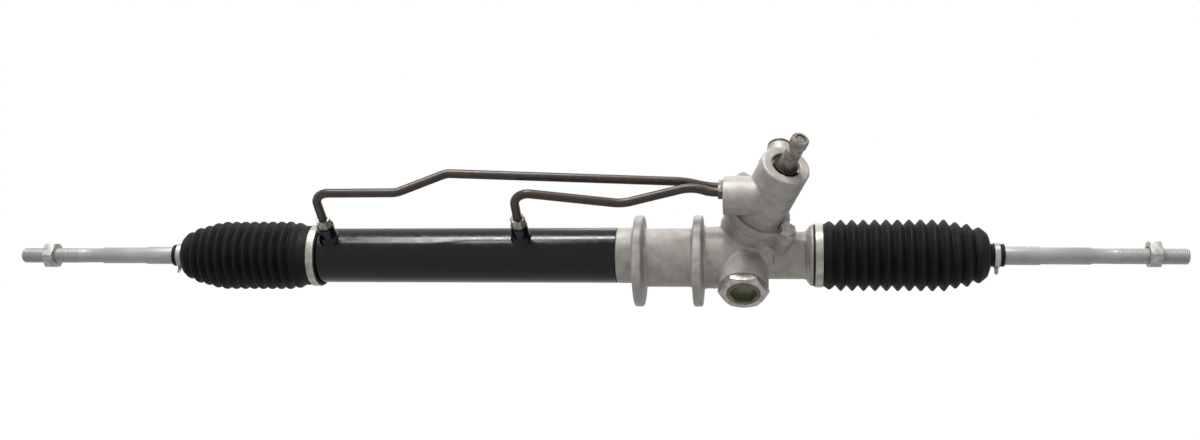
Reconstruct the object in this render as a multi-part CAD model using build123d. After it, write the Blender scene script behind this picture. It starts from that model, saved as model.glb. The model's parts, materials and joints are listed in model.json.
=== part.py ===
from build123d import *
import math
import os

# Hydraulic rack-and-pinion steering gear, in millimetres.
# X runs along the rack, towards the pinion end; Z is up; Y points away from the input shaft.
# The origin is on the rack axis, midway between the two bush flanges of the gear housing.

# ---- fits ----
SEAT_FIT = 0.03        # radial clearance of a piece seated in its own body
RUN_FIT = 0.06         # radial running clearance between bodies
LOOSE_GAP = 0.3        # clearance of rubber and clips round a moving rod
BLEND = 1.0            # plain overlap used to join solids of one casting

# ---- rack bar and its stroke ----
BAR_R = 12.5
STROKE_LEFT = 78.0     # from rest to the left lock
STROKE_RIGHT = 62.0    # from rest to the right lock
LEFT_BALL_X = -416.0
RIGHT_BALL_X = 244.5
STOP_GAP = 0.3

# ---- inner ball joints and tie rods, measured outwards from the ball centre ----
BALL_R = 13.0
SEAT_WALL = 2.5
SEAT_BACK = 10.0
SEAT_LIP = 8.0
SOCKET_R = 17.0
SOCKET_BACK = 26.5
SOCKET_SHOULDER = 4.0
SOCKET_LIP = 10.0
SOCKET_LIP_R = 14.5
SOCKET_MOUTH_R = 12.6
STUD_R = 8.0
STUD_LENGTH = 20.0
WASHER_THICK = 1.5
ROD_NECK_R = 6.0
ROD_NECK_END = 15.0
ROD_THICK_START = 21.0
ROD_THICK_R = 8.25
ROD_STEP = 80.0
ROD_R = 7.5
BLANK_R = 6.4
BLANK_LENGTH = 20.0
THREAD_R = 6.5         # pitch radius, where the jam nut runs
THREAD_LENGTH = 60.0
THREAD_END_R = 7.0     # full radius of the free end
THREAD_END_GAP = 0.6     # from the jam nut to the thread's free end
ROD_LENGTH = 202.0
ROD_TAPER = 3.0
TIP_CHAMFER = 1.2
JAM_NUT_AF = 22.0
JAM_NUT_THICK = 10.0
HEX_STEP = 60.0
JAM_NUT_FROM_TIP = 23.5
RIGHT_ROD_TILT = 0.3     # upward rest angle of the right tie rod

# ---- power cylinder ----
TUBE_R = 25.0
TUBE_BORE_R = 21.5
TUBE_LEFT_X = -338.0
PORT_LEFT_X = -310.6
PORT_RIGHT_X = -132.0
PORT_ELEVATION = 42.0  # of the port bosses above the horizontal
PORT_BOSS_R = 7.75
PORT_BOSS_TOP = 40.0
WELD_SPREAD = 3.0
WELD_HEIGHT = 4.0
OIL_HOLE_R = 3.0
PISTON_X = -212.0
PISTON_LENGTH = 16.0
PISTON_R = 21.3
PISTON_RING_WIDTH = 5.0
PISTON_RING_DEPTH = 2.6
CIRCLIP_THICK = 1.6
CIRCLIP_R = 14.5
CIRCLIP_GROOVE = 0.9
SEAL_WIDTH = 4.2
SEAL_R = 17.0
BUSH_FLOOR = 4.0
INNER_BUSH_LENGTH = 14.0
SEAL_TO_PORT = 3.2     # from the seal's face to the port's centre

# ---- gear housing ----
COLLAR_LEFT_X = -46.8
SPIGOT_LENGTH = 15.0
FLANGE_X = 26.4
FLANGE_R = 41.0
FLANGE_DROP = 5.0
FLANGE_RIM = 8.0
FLANGE_ROOT = 11.4
BARREL_R = 26.35
BARREL_DROP = 2.0
BODY_R = 27.75
BODY_END_X = 50.0
MOUNT_END_X = FLANGE_X + FLANGE_ROOT / 2
NECK_R = 21.15
NECK_START_X = 86.0
NECK_END_X = 121.3
NECK_FLAT = 17.0       # from the rack axis to the neck's flat front
NECK_FLAT_START_X = 93.0
SHOULDER_R = 27.5
SHOULDER_START_X = 125.8
SHOULDER_END_X = 128.0
RACK_BORE_R = 13.2
PIP_R = 1.6
PIP_HEIGHT = 1.2
PIP_TILT = 50.0

# ---- rack teeth and pinion ----
PINION_X = 66.9
PINION_TILT = 40.0     # elevation of the pinion axis
PINION_LEAN = 20.5     # lean of the pinion axis along the rack
TEETH = 7
MODULE = 2.1
PRESSURE_ANGLE = 20.0
SHIFT = 0.5            # profile shift of the pinion, in modules
PINION_TO_RACK = 16.3  # between the pinion axis and the rack axis
PINION_TIP_R = 10.4
ROOT_GAP = 0.45
BACKLASH = 0.1         # on each flank
GEAR_HALF = 18.0
FLANK_POINTS = 5
TOOTH_GAPS_LEFT = 11   # tooth gaps to the left of the pinion at rest
TOOTH_GAPS_RIGHT = 13

# ---- pinion tower, heights along the pinion axis from its crossing with the rack ----
TOWER_R = 27.0
TOWER_FOOT_R = 28.5
TOWER_FOOT = 0.0
TOWER_WAIST = 18.0
TOWER_LEFT_X = 46.5     # flat left side of the tower
JOINT_HEIGHT = 35.0
GEAR_POCKET_R = 12.0
BEARING_R = 16.0
BEARING_BORE_R = 6.0
BEARING_WIDTH = 10.0
BEARING_BASE = -32.0
BALL_BEARING_R = 2.3
BALL_COUNT = 9
RING_WALL = 2.5
BOTTOM_BOSS_R = 19.5
BOTTOM = -47.0
END_CAP_THICK = 6.0
END_CAP_HEX_AF = 17.0
END_CAP_HEX_THICK = 5.0
PINION_NUT_AF = 17.0
PINION_NUT_THICK = 6.0
JOURNAL_R = 8.0
NEEDLE_R = 12.0
NEEDLE_BASE = 19.0
NEEDLE_WIDTH = 10.0
EAR_R = 9.0
EAR_THICK = 12.0
RIGHT_EAR = (28.5, -9.0)
LEFT_EAR = (-27.0, 19.0)
RIGHT_EAR_COLUMN = 27.0
BOLT_R = 4.0
BOLT_REACH = 20.0
BOLT_HEAD_AF = 13.0
BOLT_HEAD_THICK = 6.0
BOLT_WASHER_R = 8.0
BOLT_WASHER_THICK = 1.2
TOOL_ROOM_R = 9.2
TOOL_ROOM = 15.0

# ---- valve tower ----
VALVE_R = 21.5
VALVE_TOP = 106.0
FLANGE_TOP = 45.0
PILOT_R = 17.0
PILOT_DEPTH = 4.0
VALVE_BORE_R = 15.5
MOUTH_BORE_R = 12.85
MOUTH_FLOOR = 88.0
EDGE_CHAMFER = 1.2
SLEEVE_BASE = 48.0
SLEEVE_TOP = 86.0
SLEEVE_R = 15.2
SEAL_RING_GROOVE = 1.3
SEAL_RING_WIDTH = 2.0
SEAL_RINGS = 4
LAND_R = 9.5
HEAD_R = 13.0
HEAD_BASE = 42.0
OIL_SEAL_BASE = 36.0
OIL_SEAL_WIDTH = 5.0
SHAFT_R = 7.25
SHAFT_TIP = 139.2
SPLINE_R = 7.75
SPLINE_LENGTH = 8.4
SPLINE_BASE = SHAFT_TIP - SPLINE_LENGTH
GROOVE_R = 6.0
GROOVE_LENGTH = 4.6
GROOVE_BASE = SPLINE_BASE - GROOVE_LENGTH
SHAFT_JOURNAL_R = 6.5
SHAFT_BASE = 40.0
TORSION_R = 4.0
TORSION_WAIST_R = 2.7
TORSION_BASE = 26.0
TORSION_DEPTH = 7.2
TORSION_TOP = SHAFT_TIP - TORSION_DEPTH
TORSION_GRIP = 12.0
PIN_R = 1.5
PIN_HEIGHT = GROOVE_BASE + GROOVE_LENGTH / 2
SHAFT_BEARING_WIDTH = 7.0
SHAFT_SEAL_WIDTH = 4.8
SHAFT_LIP_R = 10.4
SHAFT_LIP_RISE = 6.0
SNAP_RING_THICK = 1.2
SNAP_RING_WALL = 2.2
SNAP_RING_GAP = 8.0
RIGHT_GUSSET_TOP = 56.0
GUSSET_HALF = 5.0

# ---- pipe port boss on the valve tower and the two line ports ----
REAR_BOSS_R = 15.0
REAR_BOSS_YZ = (-27.0, 54.5)
REAR_BOSS_END_X = 84.0
FRONT_BOSS_R = 16.0
FRONT_BOSS_YZ = (-48.0, 50.5)
FRONT_BOSS_TAPER_X = 78.0
FRONT_BOSS_END_X = 97.0
FRONT_BOSS_END_R = 6.0
LONG_PORT_YZ = (-29.0, 59.8)
SHORT_PORT_YZ = (-44.0, 54.6)
PORT_FACE_X = 50.0
LINE_PORT_TURN = 114.0  # direction of the line ports about the pinion axis
LINE_PORT_R = 11.0
LINE_PORT_REACH = 31.5
LINE_PORT_HEIGHTS = (92.0, 69.5)
LINE_BORE_R = 6.5
LINE_BORE_DEPTH = 12.0
LINE_OIL_HEIGHTS = (86.5, 69.5)
LINE_OIL_R = 1.4
CAP_R = 10.3
CAP_THICK = 3.0
CAP_STEM = 9.0

# ---- transfer pipes ----
PIPE_R = 4.0
PIPE_WALL = 1.0
PIPE_RISE = 82.0        # from the rack axis to the first corner, along the port boss
FIRST_BEND = 13.0
LONG_BENDS = (18.0, 18.0, 90.0, 60.0)
SHORT_BENDS = (45.0, 40.0, 30.0)
LONG_LEVEL_END = (-235.5, -61.0, 54.9)
LONG_CREST = (-193.3, -50.0, 72.2)
LONG_FAR = (16.0, -32.0, 64.6)
SHORT_DIP = (-37.5, -47.0, 45.0)
SHORT_CREST = (25.1, -44.0, 60.0)
PORT_STRAIGHT = 12.0
NUT_AF = 12.0
NUT_THICK = 9.5
VALVE_NUT_THICK = 4.5
NUT_THREAD_R = 5.8
NUT_THREAD_LENGTH = 7.0
PIPE_END_GAP = 0.5

# ---- rack yoke, measured outwards from the rack axis ----
YOKE_R = 15.0
YOKE_BACK = 26.0
YOKE_FRONT = 4.5
LINER_THICK = 1.0
YOKE_BOSS_R = 22.0
YOKE_BOSS_TOP = 37.5
YOKE_RECESS_R = 9.0
YOKE_RECESS_DEPTH = 8.0
YOKE_PLAY = 0.4
ORING_HEIGHT = 21.0
ORING_R = 1.0
PLUG_TOP = 44.4
PLUG_RECESS = 4.0
PLUG_SOCKET_AF = 22.0
PLUG_SOCKET_DEPTH = 6.0
LOCK_NUT_AF = 39.0
LOCK_NUT_THICK = 6.5
SPRING_WIRE_R = 1.2
SPRING_R = 7.0
SPRING_TURNS = 3

# ---- boots, measured outwards from the start of the cuff ----
BOOT_WALL = 1.8
CUFF_R = 27.6
BOOT_PEAK_R = 31.8
BOOT_VALLEY_R = 26.8
FIRST_PEAK_R = 30.4
PEAK_HALF = 1.0
NECK_OUTER_R = 10.0
NECK_BORE_R = ROD_THICK_R + LOOSE_GAP
BAND_START = 1.4
BAND_WIDTH = 7.7
BAND_THICK = 1.0
BAND_EAR = 5.0
CLIP_WIDTH = 4.75
CLIP_THICK = 0.9
TANG_LENGTH = 8.0
LEFT_BOOT = {
    "start": 321.8, "cuff": 17.0, "peak": 22.7, "folds": 13, "pitch": 8.775, "cone": 7.2, "neck": 9.6,
    "clip": 0.6, "taper": (0.96, 0.885, 0.82, 0.69),
}
RIGHT_BOOT = {
    "start": SHOULDER_END_X, "cuff": 9.0, "peak": 14.1, "folds": 14, "pitch": 9.9, "cone": 10.1, "neck": 11.5,
    "clip": 2.8, "taper": (0.925, 0.875, 0.775),
}

# ---- sizes worked out from those above ----
SEAT_R = BALL_R + RUN_FIT + SEAT_WALL
CAVITY_R = SEAT_R + RUN_FIT
RACK_END = SOCKET_BACK + WASHER_THICK
RACK_LEFT_X = LEFT_BALL_X + RACK_END
RACK_RIGHT_X = RIGHT_BALL_X - RACK_END
HOUSING_END_X = RACK_RIGHT_X - STROKE_LEFT - STOP_GAP
STOPPER_X = RACK_LEFT_X + STROKE_RIGHT + STOP_GAP
LEFT_SEAL_X = PORT_LEFT_X - SEAL_TO_PORT
INNER_SEAL_X = PORT_RIGHT_X + SEAL_TO_PORT + OIL_HOLE_R
SPIGOT_X = COLLAR_LEFT_X - SPIGOT_LENGTH
FITTED_R = TUBE_BORE_R - SEAT_FIT

LEAN = math.radians(PINION_LEAN)
TILT = math.radians(PINION_TILT)
PINION_DIR = Vector(math.sin(LEAN), -math.cos(LEAN) * math.cos(TILT), math.cos(LEAN) * math.sin(TILT))
YOKE_DIR = Vector(0, -math.sin(TILT), -math.cos(TILT))
PORT_ANGLE = math.radians(PORT_ELEVATION)
PORT_DIR = Vector(0, -math.cos(PORT_ANGLE), math.sin(PORT_ANGLE))

PITCH_R = TEETH * MODULE / (2 * math.cos(LEAN))
RACK_PITCH = math.pi * MODULE
TAN_NORMAL = math.tan(math.radians(PRESSURE_ANGLE))
TRANSVERSE_ANGLE = math.atan(TAN_NORMAL / math.cos(LEAN))
BASE_R = PITCH_R * math.cos(TRANSVERSE_ANGLE)
TOOTH_NORMAL = RACK_PITCH / 2 + 2 * SHIFT * MODULE * TAN_NORMAL
RACK_PITCH_LINE = PINION_TO_RACK - PITCH_R
RACK_TIP_LINE = RACK_PITCH_LINE + (1 - SHIFT) * MODULE
RACK_ROOT_LINE = PINION_TO_RACK - PINION_TIP_R - ROOT_GAP
PINION_ROOT_R = PINION_TO_RACK - RACK_TIP_LINE - ROOT_GAP
TWIST_RATE = -math.degrees(math.tan(LEAN) / PITCH_R)

# ---- frames: each has its Z axis along the piece it serves ----
RACK = Plane(origin=(0, 0, 0), x_dir=(0, 1, 0), z_dir=(1, 0, 0))
RIGHT_BALL = Plane(origin=(RIGHT_BALL_X, 0, 0), x_dir=(0, 0, -1), z_dir=(1, 0, 0))
LEFT_BALL = Plane(origin=(LEFT_BALL_X, 0, 0), x_dir=(0, 0, -1), z_dir=(-1, 0, 0))
RIGHT_ROD = RIGHT_BALL.rotated((0, -RIGHT_ROD_TILT, 0))
RIGHT_CUFF = Plane(origin=(RIGHT_BOOT["start"], 0, 0), x_dir=(0, 0, -1), z_dir=(1, 0, 0))
LEFT_CUFF = Plane(origin=(-LEFT_BOOT["start"], 0, 0), x_dir=(0, 0, -1), z_dir=(-1, 0, 0))
PINION_ORIGIN = Vector(PINION_X, 0, 0) - YOKE_DIR * PINION_TO_RACK
PINION = Plane(origin=PINION_ORIGIN, x_dir=(PINION_DIR.Z, 0, -PINION_DIR.X), z_dir=PINION_DIR)
MESH = Plane(origin=PINION_ORIGIN, x_dir=YOKE_DIR, z_dir=PINION_DIR)
YOKE = Plane(origin=(PINION_X, 0, 0), x_dir=(1, 0, 0), z_dir=YOKE_DIR)
TOOTH_PLANE = Plane(origin=(PINION_X, 0, 0), x_dir=(1, 0, 0), z_dir=Vector(1, 0, 0).cross(YOKE_DIR * -1))
LEFT_PORT = Plane(origin=(PORT_LEFT_X, 0, 0), x_dir=(1, 0, 0), z_dir=PORT_DIR)
RIGHT_PORT = Plane(origin=(PORT_RIGHT_X, 0, 0), x_dir=(1, 0, 0), z_dir=PORT_DIR)
FROM_BASE = (Align.CENTER, Align.CENTER, Align.MIN)


def bar(frame, radius, start, end):
    """Round bar along the frame's Z axis, from start to end."""
    return frame * Pos(0, 0, start) * Cylinder(radius, end - start, align=FROM_BASE)


def ring(frame, inner, outer, start, end):
    """Plain ring about the frame's Z axis."""
    return bar(frame, outer, start, end) - bar(frame, inner, start, end)


def turned(frame, outline):
    """Solid turned about the frame's Z axis, from (radius, height) corners."""
    corners = [(radius, 0, height) for radius, height in outline]
    section = make_face(Polyline(*corners, close=True))
    return frame * revolve(section, Axis.Z)


def cone(frame, start_radius, end_radius, start, end):
    """Solid cone frustum about the frame's Z axis."""
    return turned(frame, [(0, start), (start_radius, start), (end_radius, end), (0, end)])


def hexagon(frame, across_flats, start, end):
    """Hexagonal bar along the frame's Z axis."""
    outline = RegularPolygon(across_flats / 2, 6, major_radius=False)
    return frame * Pos(0, 0, start) * extrude(outline, end - start)


def hex_nut(frame, across_flats, start, end, bore):
    """Hexagonal nut with its corners turned off at both ends."""
    corner_r = across_flats / math.sqrt(3)
    flat_r = across_flats / 2
    relief = (corner_r - flat_r) * 0.6
    envelope = turned(frame, [
        (0, start), (flat_r, start), (corner_r, start + relief),
        (corner_r, end - relief), (flat_r, end), (0, end),
    ])
    return (hexagon(frame, across_flats, start, end) & envelope) - bar(frame, bore, start, end)


def torus(frame, centre_radius, cord_radius, height):
    """Round-section ring about the frame's Z axis."""
    return frame * Pos(0, 0, height) * Torus(centre_radius, cord_radius)


def along_x(y, z, radius, start, end):
    """Round bar parallel to the rack at the given Y and Z."""
    return Pos(0, y, z) * bar(RACK, radius, start, end)


def port_frame(y, z, face_x):
    """Frame of a pipe port on the valve tower, Z pointing out of the port."""
    return Plane(origin=(face_x, y, z), x_dir=(0, 1, 0), z_dir=(-1, 0, 0))


def line_frame(height):
    """Frame of a line port: origin on the pinion axis, Z out of the port."""
    turn = math.radians(LINE_PORT_TURN)
    tip = PINION.from_local_coords((math.cos(turn), math.sin(turn), height))
    root = PINION.from_local_coords((0, 0, height))
    return Plane(origin=root, x_dir=PINION_DIR, z_dir=tip - root)


LONG_PORT = port_frame(*LONG_PORT_YZ, PORT_FACE_X)
SHORT_PORT = port_frame(*SHORT_PORT_YZ, PORT_FACE_X)


# ---- power cylinder ----
def tube_ports():
    """Oil holes through the tube wall at both port bosses."""
    return bar(LEFT_PORT, OIL_HOLE_R, 0, TUBE_R + BLEND) + bar(RIGHT_PORT, OIL_HOLE_R, 0, TUBE_R + BLEND)


def cylinder_tube():
    """Cylinder tube with its two oil holes."""
    return ring(RACK, TUBE_BORE_R, TUBE_R, TUBE_LEFT_X, COLLAR_LEFT_X) - tube_ports()


def port_boss(frame):
    """Threaded boss with its weld foot, saddled on the tube."""
    foot = cone(frame, PORT_BOSS_R + WELD_SPREAD, PORT_BOSS_R, TUBE_R - WELD_SPREAD, TUBE_R + WELD_HEIGHT)
    boss = bar(frame, PORT_BOSS_R, TUBE_R - WELD_SPREAD, PORT_BOSS_TOP) + foot
    thread_floor = PORT_BOSS_TOP - NUT_THREAD_LENGTH - PIPE_END_GAP
    boss -= bar(frame, NUT_THREAD_R + SEAT_FIT, thread_floor, PORT_BOSS_TOP)
    boss -= bar(frame, OIL_HOLE_R, 0, thread_floor)
    return boss - bar(RACK, TUBE_R, TUBE_LEFT_X, COLLAR_LEFT_X)


def flare_nut(frame, seat, thickness):
    """Hex nut with the threaded spigot that holds a pipe end in its port."""
    nut = hex_nut(frame, NUT_AF, seat, seat + thickness, PIPE_R + SEAT_FIT)
    return nut + ring(frame, PIPE_R + SEAT_FIT, NUT_THREAD_R, seat - NUT_THREAD_LENGTH, seat)


def flare_nuts():
    """The four pipe nuts."""
    at_tube = [flare_nut(frame, PORT_BOSS_TOP, NUT_THICK) for frame in (LEFT_PORT, RIGHT_PORT)]
    at_valve = [flare_nut(frame, 0, VALVE_NUT_THICK) for frame in (LONG_PORT, SHORT_PORT)]
    return Compound(at_tube + at_valve)


def pipe(port, corners, valve_port, bends):
    """Rigid pipe from a port boss, over its corners, into the valve tower."""
    start = port.from_local_coords((0, 0, PORT_BOSS_TOP - NUT_THREAD_LENGTH))
    rise = port.from_local_coords((0, 0, PIPE_RISE))
    lead_in = valve_port.from_local_coords((0, 0, PORT_STRAIGHT))
    end = valve_port.from_local_coords((0, 0, -NUT_THREAD_LENGTH))
    route = FilletPolyline(start, rise, *corners, lead_in, end, radius=(FIRST_BEND, *bends))
    mouth = Plane(origin=start, z_dir=PORT_DIR)
    outside = sweep(mouth * Circle(PIPE_R), path=route)
    inside = sweep(mouth * Circle(PIPE_R - PIPE_WALL), path=route)
    return outside - inside


def end_stopper():
    """Threaded ring that holds the outer bush and stops the rack."""
    return ring(RACK, BAR_R + 2 * LOOSE_GAP, FITTED_R, STOPPER_X, LEFT_SEAL_X - SEAL_WIDTH - BUSH_FLOOR)


def outer_rack_bushing():
    """Bush at the outer end of the cylinder, with a pocket for its seal."""
    floor = LEFT_SEAL_X - SEAL_WIDTH
    bush = ring(RACK, BAR_R + RUN_FIT, FITTED_R, floor - BUSH_FLOOR, LEFT_SEAL_X)
    return bush - bar(RACK, SEAL_R + SEAT_FIT, floor, LEFT_SEAL_X)


def outer_rack_seal():
    """Oil seal at the outer end of the cylinder."""
    return ring(RACK, BAR_R + RUN_FIT, SEAL_R, LEFT_SEAL_X - SEAL_WIDTH, LEFT_SEAL_X)


def inner_rack_bushing():
    """Bush between the cylinder and the gear housing, with a pocket for its seal."""
    bush = ring(RACK, BAR_R + RUN_FIT, FITTED_R, INNER_SEAL_X, INNER_SEAL_X + INNER_BUSH_LENGTH)
    return bush - bar(RACK, SEAL_R + SEAT_FIT, INNER_SEAL_X, INNER_SEAL_X + SEAL_WIDTH)


def inner_rack_seal():
    """Oil seal at the inner end of the cylinder."""
    return ring(RACK, BAR_R + RUN_FIT, SEAL_R, INNER_SEAL_X, INNER_SEAL_X + SEAL_WIDTH)


def spacer_tube():
    """Sleeve that holds the inner bush away from the housing's spigot."""
    return ring(RACK, SEAL_R, FITTED_R, INNER_SEAL_X + INNER_BUSH_LENGTH, SPIGOT_X)


# ---- gear housing ----
def bush_flange(centre_x):
    """Round flange beside the bush seat, thinner at its rim."""
    rim = FLANGE_RIM / 2
    root = FLANGE_ROOT / 2
    outline = [
        (0, centre_x - root), (BARREL_R - FLANGE_DROP, centre_x - root), (FLANGE_R, centre_x - rim),
        (FLANGE_R, centre_x + rim), (BARREL_R - FLANGE_DROP, centre_x + root), (0, centre_x + root),
    ]
    return Pos(0, 0, -FLANGE_DROP) * turned(RACK, outline)


def ear(position, start, end):
    """Bolt ear beside the pinion tower, webbed back to it."""
    x, y = position
    reach = math.hypot(x, y)
    turn = math.degrees(math.atan2(y, x))
    web = Box(reach, 2 * EAR_R, end - start, align=(Align.MIN, Align.CENTER, Align.MIN))
    return PINION * (Pos(x, y, start) * Cylinder(EAR_R, end - start, align=FROM_BASE)
                     + Pos(0, 0, start) * Rot(0, 0, turn) * web)


def bolt_bore(position, radius, start, end):
    """Round bore beside the pinion tower, parallel to its axis."""
    x, y = position
    return PINION * Pos(x, y, start) * Cylinder(radius, end - start, align=FROM_BASE)


def casting_pips():
    """Small round ejector marks under the barrel."""
    pips = []
    for centre_x in (-FLANGE_X - FLANGE_ROOT, FLANGE_X - FLANGE_ROOT):
        frame = RACK * Pos(0, -BARREL_DROP, centre_x) * Rot(PIP_TILT, 0, 0)
        pips.append(frame * Cylinder(PIP_R, BARREL_R + PIP_HEIGHT, align=FROM_BASE))
    return pips


def rack_line_body():
    """The part of the gear housing that is turned about the rack."""
    body = bar(RACK, FITTED_R, SPIGOT_X, COLLAR_LEFT_X)
    body += bar(RACK, TUBE_R, COLLAR_LEFT_X, -FLANGE_X)
    body += Pos(0, 0, -BARREL_DROP) * bar(RACK, BARREL_R, -FLANGE_X, FLANGE_X)
    body += Pos(0, 0, -BARREL_DROP) * bar(RACK, BODY_R, FLANGE_X, BODY_END_X)
    body += Pos(0, 0, -BARREL_DROP) * cone(RACK, BODY_R, NECK_R - BARREL_DROP, BODY_END_X, NECK_START_X)
    body += bar(RACK, NECK_R, BODY_END_X, NECK_END_X)
    body += cone(RACK, NECK_R, SHOULDER_R, NECK_END_X, SHOULDER_START_X)
    body += bar(RACK, SHOULDER_R, SHOULDER_START_X, SHOULDER_END_X)
    body += bar(RACK, TUBE_R, SHOULDER_END_X, HOUSING_END_X)
    body += bush_flange(-FLANGE_X) + bush_flange(FLANGE_X)
    flat_length = NECK_END_X - NECK_FLAT_START_X
    flat = Box(flat_length, NECK_R, 2 * NECK_R, align=(Align.MIN, Align.MAX, Align.CENTER))
    return body - Pos(NECK_FLAT_START_X, -NECK_FLAT, 0) * flat


def pinion_tower():
    """The part of the gear housing that stands about the pinion."""
    tower = bar(PINION, TOWER_R, TOWER_FOOT, JOINT_HEIGHT)
    tower += cone(PINION, TOWER_FOOT_R, TOWER_R, TOWER_FOOT, TOWER_WAIST)
    tower -= bar(RACK, 3 * TOWER_R, TOWER_LEFT_X - TOWER_R, TOWER_LEFT_X)
    tower += bar(PINION, BOTTOM_BOSS_R, BOTTOM, TOWER_FOOT)
    tower += ear(RIGHT_EAR, JOINT_HEIGHT - RIGHT_EAR_COLUMN, JOINT_HEIGHT)
    return tower + ear(LEFT_EAR, JOINT_HEIGHT - EAR_THICK, JOINT_HEIGHT)


def housing_bores():
    """Every bore of the gear housing."""
    seat_base = BEARING_BASE + BEARING_WIDTH
    bores = [
        bar(RACK, RACK_BORE_R, SPIGOT_X, HOUSING_END_X),
        bar(PINION, GEAR_POCKET_R, seat_base, JOINT_HEIGHT),
        bar(PINION, BEARING_R + SEAT_FIT, BOTTOM, seat_base),
        bar(PINION, NEEDLE_R + SEAT_FIT, NEEDLE_BASE, JOINT_HEIGHT),
        bar(PINION, PILOT_R + SEAT_FIT, JOINT_HEIGHT - PILOT_DEPTH, JOINT_HEIGHT),
        bar(YOKE, YOKE_R + SEAT_FIT, YOKE_FRONT, YOKE_BOSS_TOP),
    ]
    for position in (RIGHT_EAR, LEFT_EAR):
        bores.append(bolt_bore(position, BOLT_R + SEAT_FIT, JOINT_HEIGHT - BOLT_REACH, JOINT_HEIGHT))
    return bores


def rack_housing():
    """Cast gear housing, as two solids that meet face to face: the bush mount end and the gear end."""
    casting = rack_line_body() + pinion_tower() + bar(YOKE, YOKE_BOSS_R, 0, YOKE_BOSS_TOP)
    for pip in casting_pips():
        casting += pip
    for bore in housing_bores():
        casting -= bore
    mount_end = bar(RACK, 2 * FLANGE_R, SPIGOT_X - BLEND, MOUNT_END_X)
    return Compound([casting & mount_end, casting - mount_end])


# ---- rack ----
def tooth_cutter():
    """Solid above the rack teeth: the flat over the bar and every tooth gap."""
    gap_half = (RACK_PITCH - (RACK_PITCH - TOOTH_NORMAL - 2 * BACKLASH)) / 2
    tip_half = gap_half + (RACK_TIP_LINE - RACK_PITCH_LINE) * TAN_NORMAL
    root_half = gap_half - (RACK_PITCH_LINE - RACK_ROOT_LINE) * TAN_NORMAL
    left = -(TOOTH_GAPS_LEFT + 0.5) * RACK_PITCH
    right = (TOOTH_GAPS_RIGHT + 0.5) * RACK_PITCH
    corners = [(left, BAR_R + BLEND), (left, RACK_TIP_LINE)]
    for index in range(-TOOTH_GAPS_LEFT, TOOTH_GAPS_RIGHT + 1):
        centre = index * RACK_PITCH
        corners += [(centre - tip_half, RACK_TIP_LINE), (centre - root_half, RACK_ROOT_LINE)]
        corners += [(centre + root_half, RACK_ROOT_LINE), (centre + tip_half, RACK_TIP_LINE)]
    corners += [(right, RACK_TIP_LINE), (right, BAR_R + BLEND)]
    section = make_face(Polyline(*corners, close=True))
    return TOOTH_PLANE * extrude(section, BAR_R + BLEND, both=True)


def piston_ends():
    """The two faces of the piston along X."""
    return PISTON_X - PISTON_LENGTH / 2, PISTON_X + PISTON_LENGTH / 2


def rack_bar():
    """Rack bar with its teeth, circlip grooves and threaded ends."""
    body = bar(RACK, BAR_R, RACK_LEFT_X, RACK_RIGHT_X) - tooth_cutter()
    body -= bar(RACK, STUD_R + SEAT_FIT, RACK_LEFT_X, RACK_LEFT_X + STUD_LENGTH)
    body -= bar(RACK, STUD_R + SEAT_FIT, RACK_RIGHT_X - STUD_LENGTH, RACK_RIGHT_X)
    left, right = piston_ends()
    for start in (left - CIRCLIP_THICK, right):
        body -= ring(RACK, BAR_R - CIRCLIP_GROOVE, BAR_R + BLEND, start, start + CIRCLIP_THICK)
    return body


def piston():
    """Piston seated on the rack bar, grooved for its ring."""
    left, right = piston_ends()
    groove_start = PISTON_X - PISTON_RING_WIDTH / 2
    body = ring(RACK, BAR_R + SEAT_FIT, PISTON_R, left, right)
    groove_end = groove_start + PISTON_RING_WIDTH
    return body - ring(RACK, PISTON_R - PISTON_RING_DEPTH, PISTON_R + BLEND, groove_start, groove_end)


def piston_ring():
    """Sliding ring in the piston's groove."""
    half = PISTON_RING_WIDTH / 2 - SEAT_FIT
    inner = PISTON_R - PISTON_RING_DEPTH + SEAT_FIT
    return ring(RACK, inner, TUBE_BORE_R - RUN_FIT, PISTON_X - half, PISTON_X + half)


def piston_retaining_rings():
    """Circlips on both sides of the piston."""
    left, right = piston_ends()
    inner = BAR_R - CIRCLIP_GROOVE + SEAT_FIT
    starts = (left - CIRCLIP_THICK, right)
    return Compound([ring(RACK, inner, CIRCLIP_R, start, start + CIRCLIP_THICK) for start in starts])


# ---- ball joints and tie rods ----
def inner_socket(frame):
    """Ball socket with the stud that screws into the rack bar."""
    outline = [
        (0, -SOCKET_BACK), (SOCKET_R, -SOCKET_BACK), (SOCKET_R, SOCKET_SHOULDER),
        (SOCKET_LIP_R, SOCKET_LIP), (0, SOCKET_LIP),
    ]
    body = turned(frame, outline)
    body += bar(frame, STUD_R, -RACK_END - STUD_LENGTH, -SOCKET_BACK)
    body -= frame * Sphere(CAVITY_R)
    return body - bar(frame, SOCKET_MOUTH_R, 0, SOCKET_LIP + BLEND)


def lock_washer(frame):
    """Washer between the socket and the end of the rack bar."""
    return ring(frame, STUD_R + SEAT_FIT, SOCKET_R - BLEND, -RACK_END, -SOCKET_BACK)


def ball_seat(frame):
    """Plastic seat that wraps the ball inside its socket."""
    height = SEAT_BACK + SEAT_LIP
    window = frame * Pos(0, 0, -SEAT_BACK) * Cylinder(SEAT_R + BLEND, height, align=FROM_BASE)
    return (frame * Sphere(SEAT_R) & window) - frame * Sphere(BALL_R + RUN_FIT)


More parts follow.
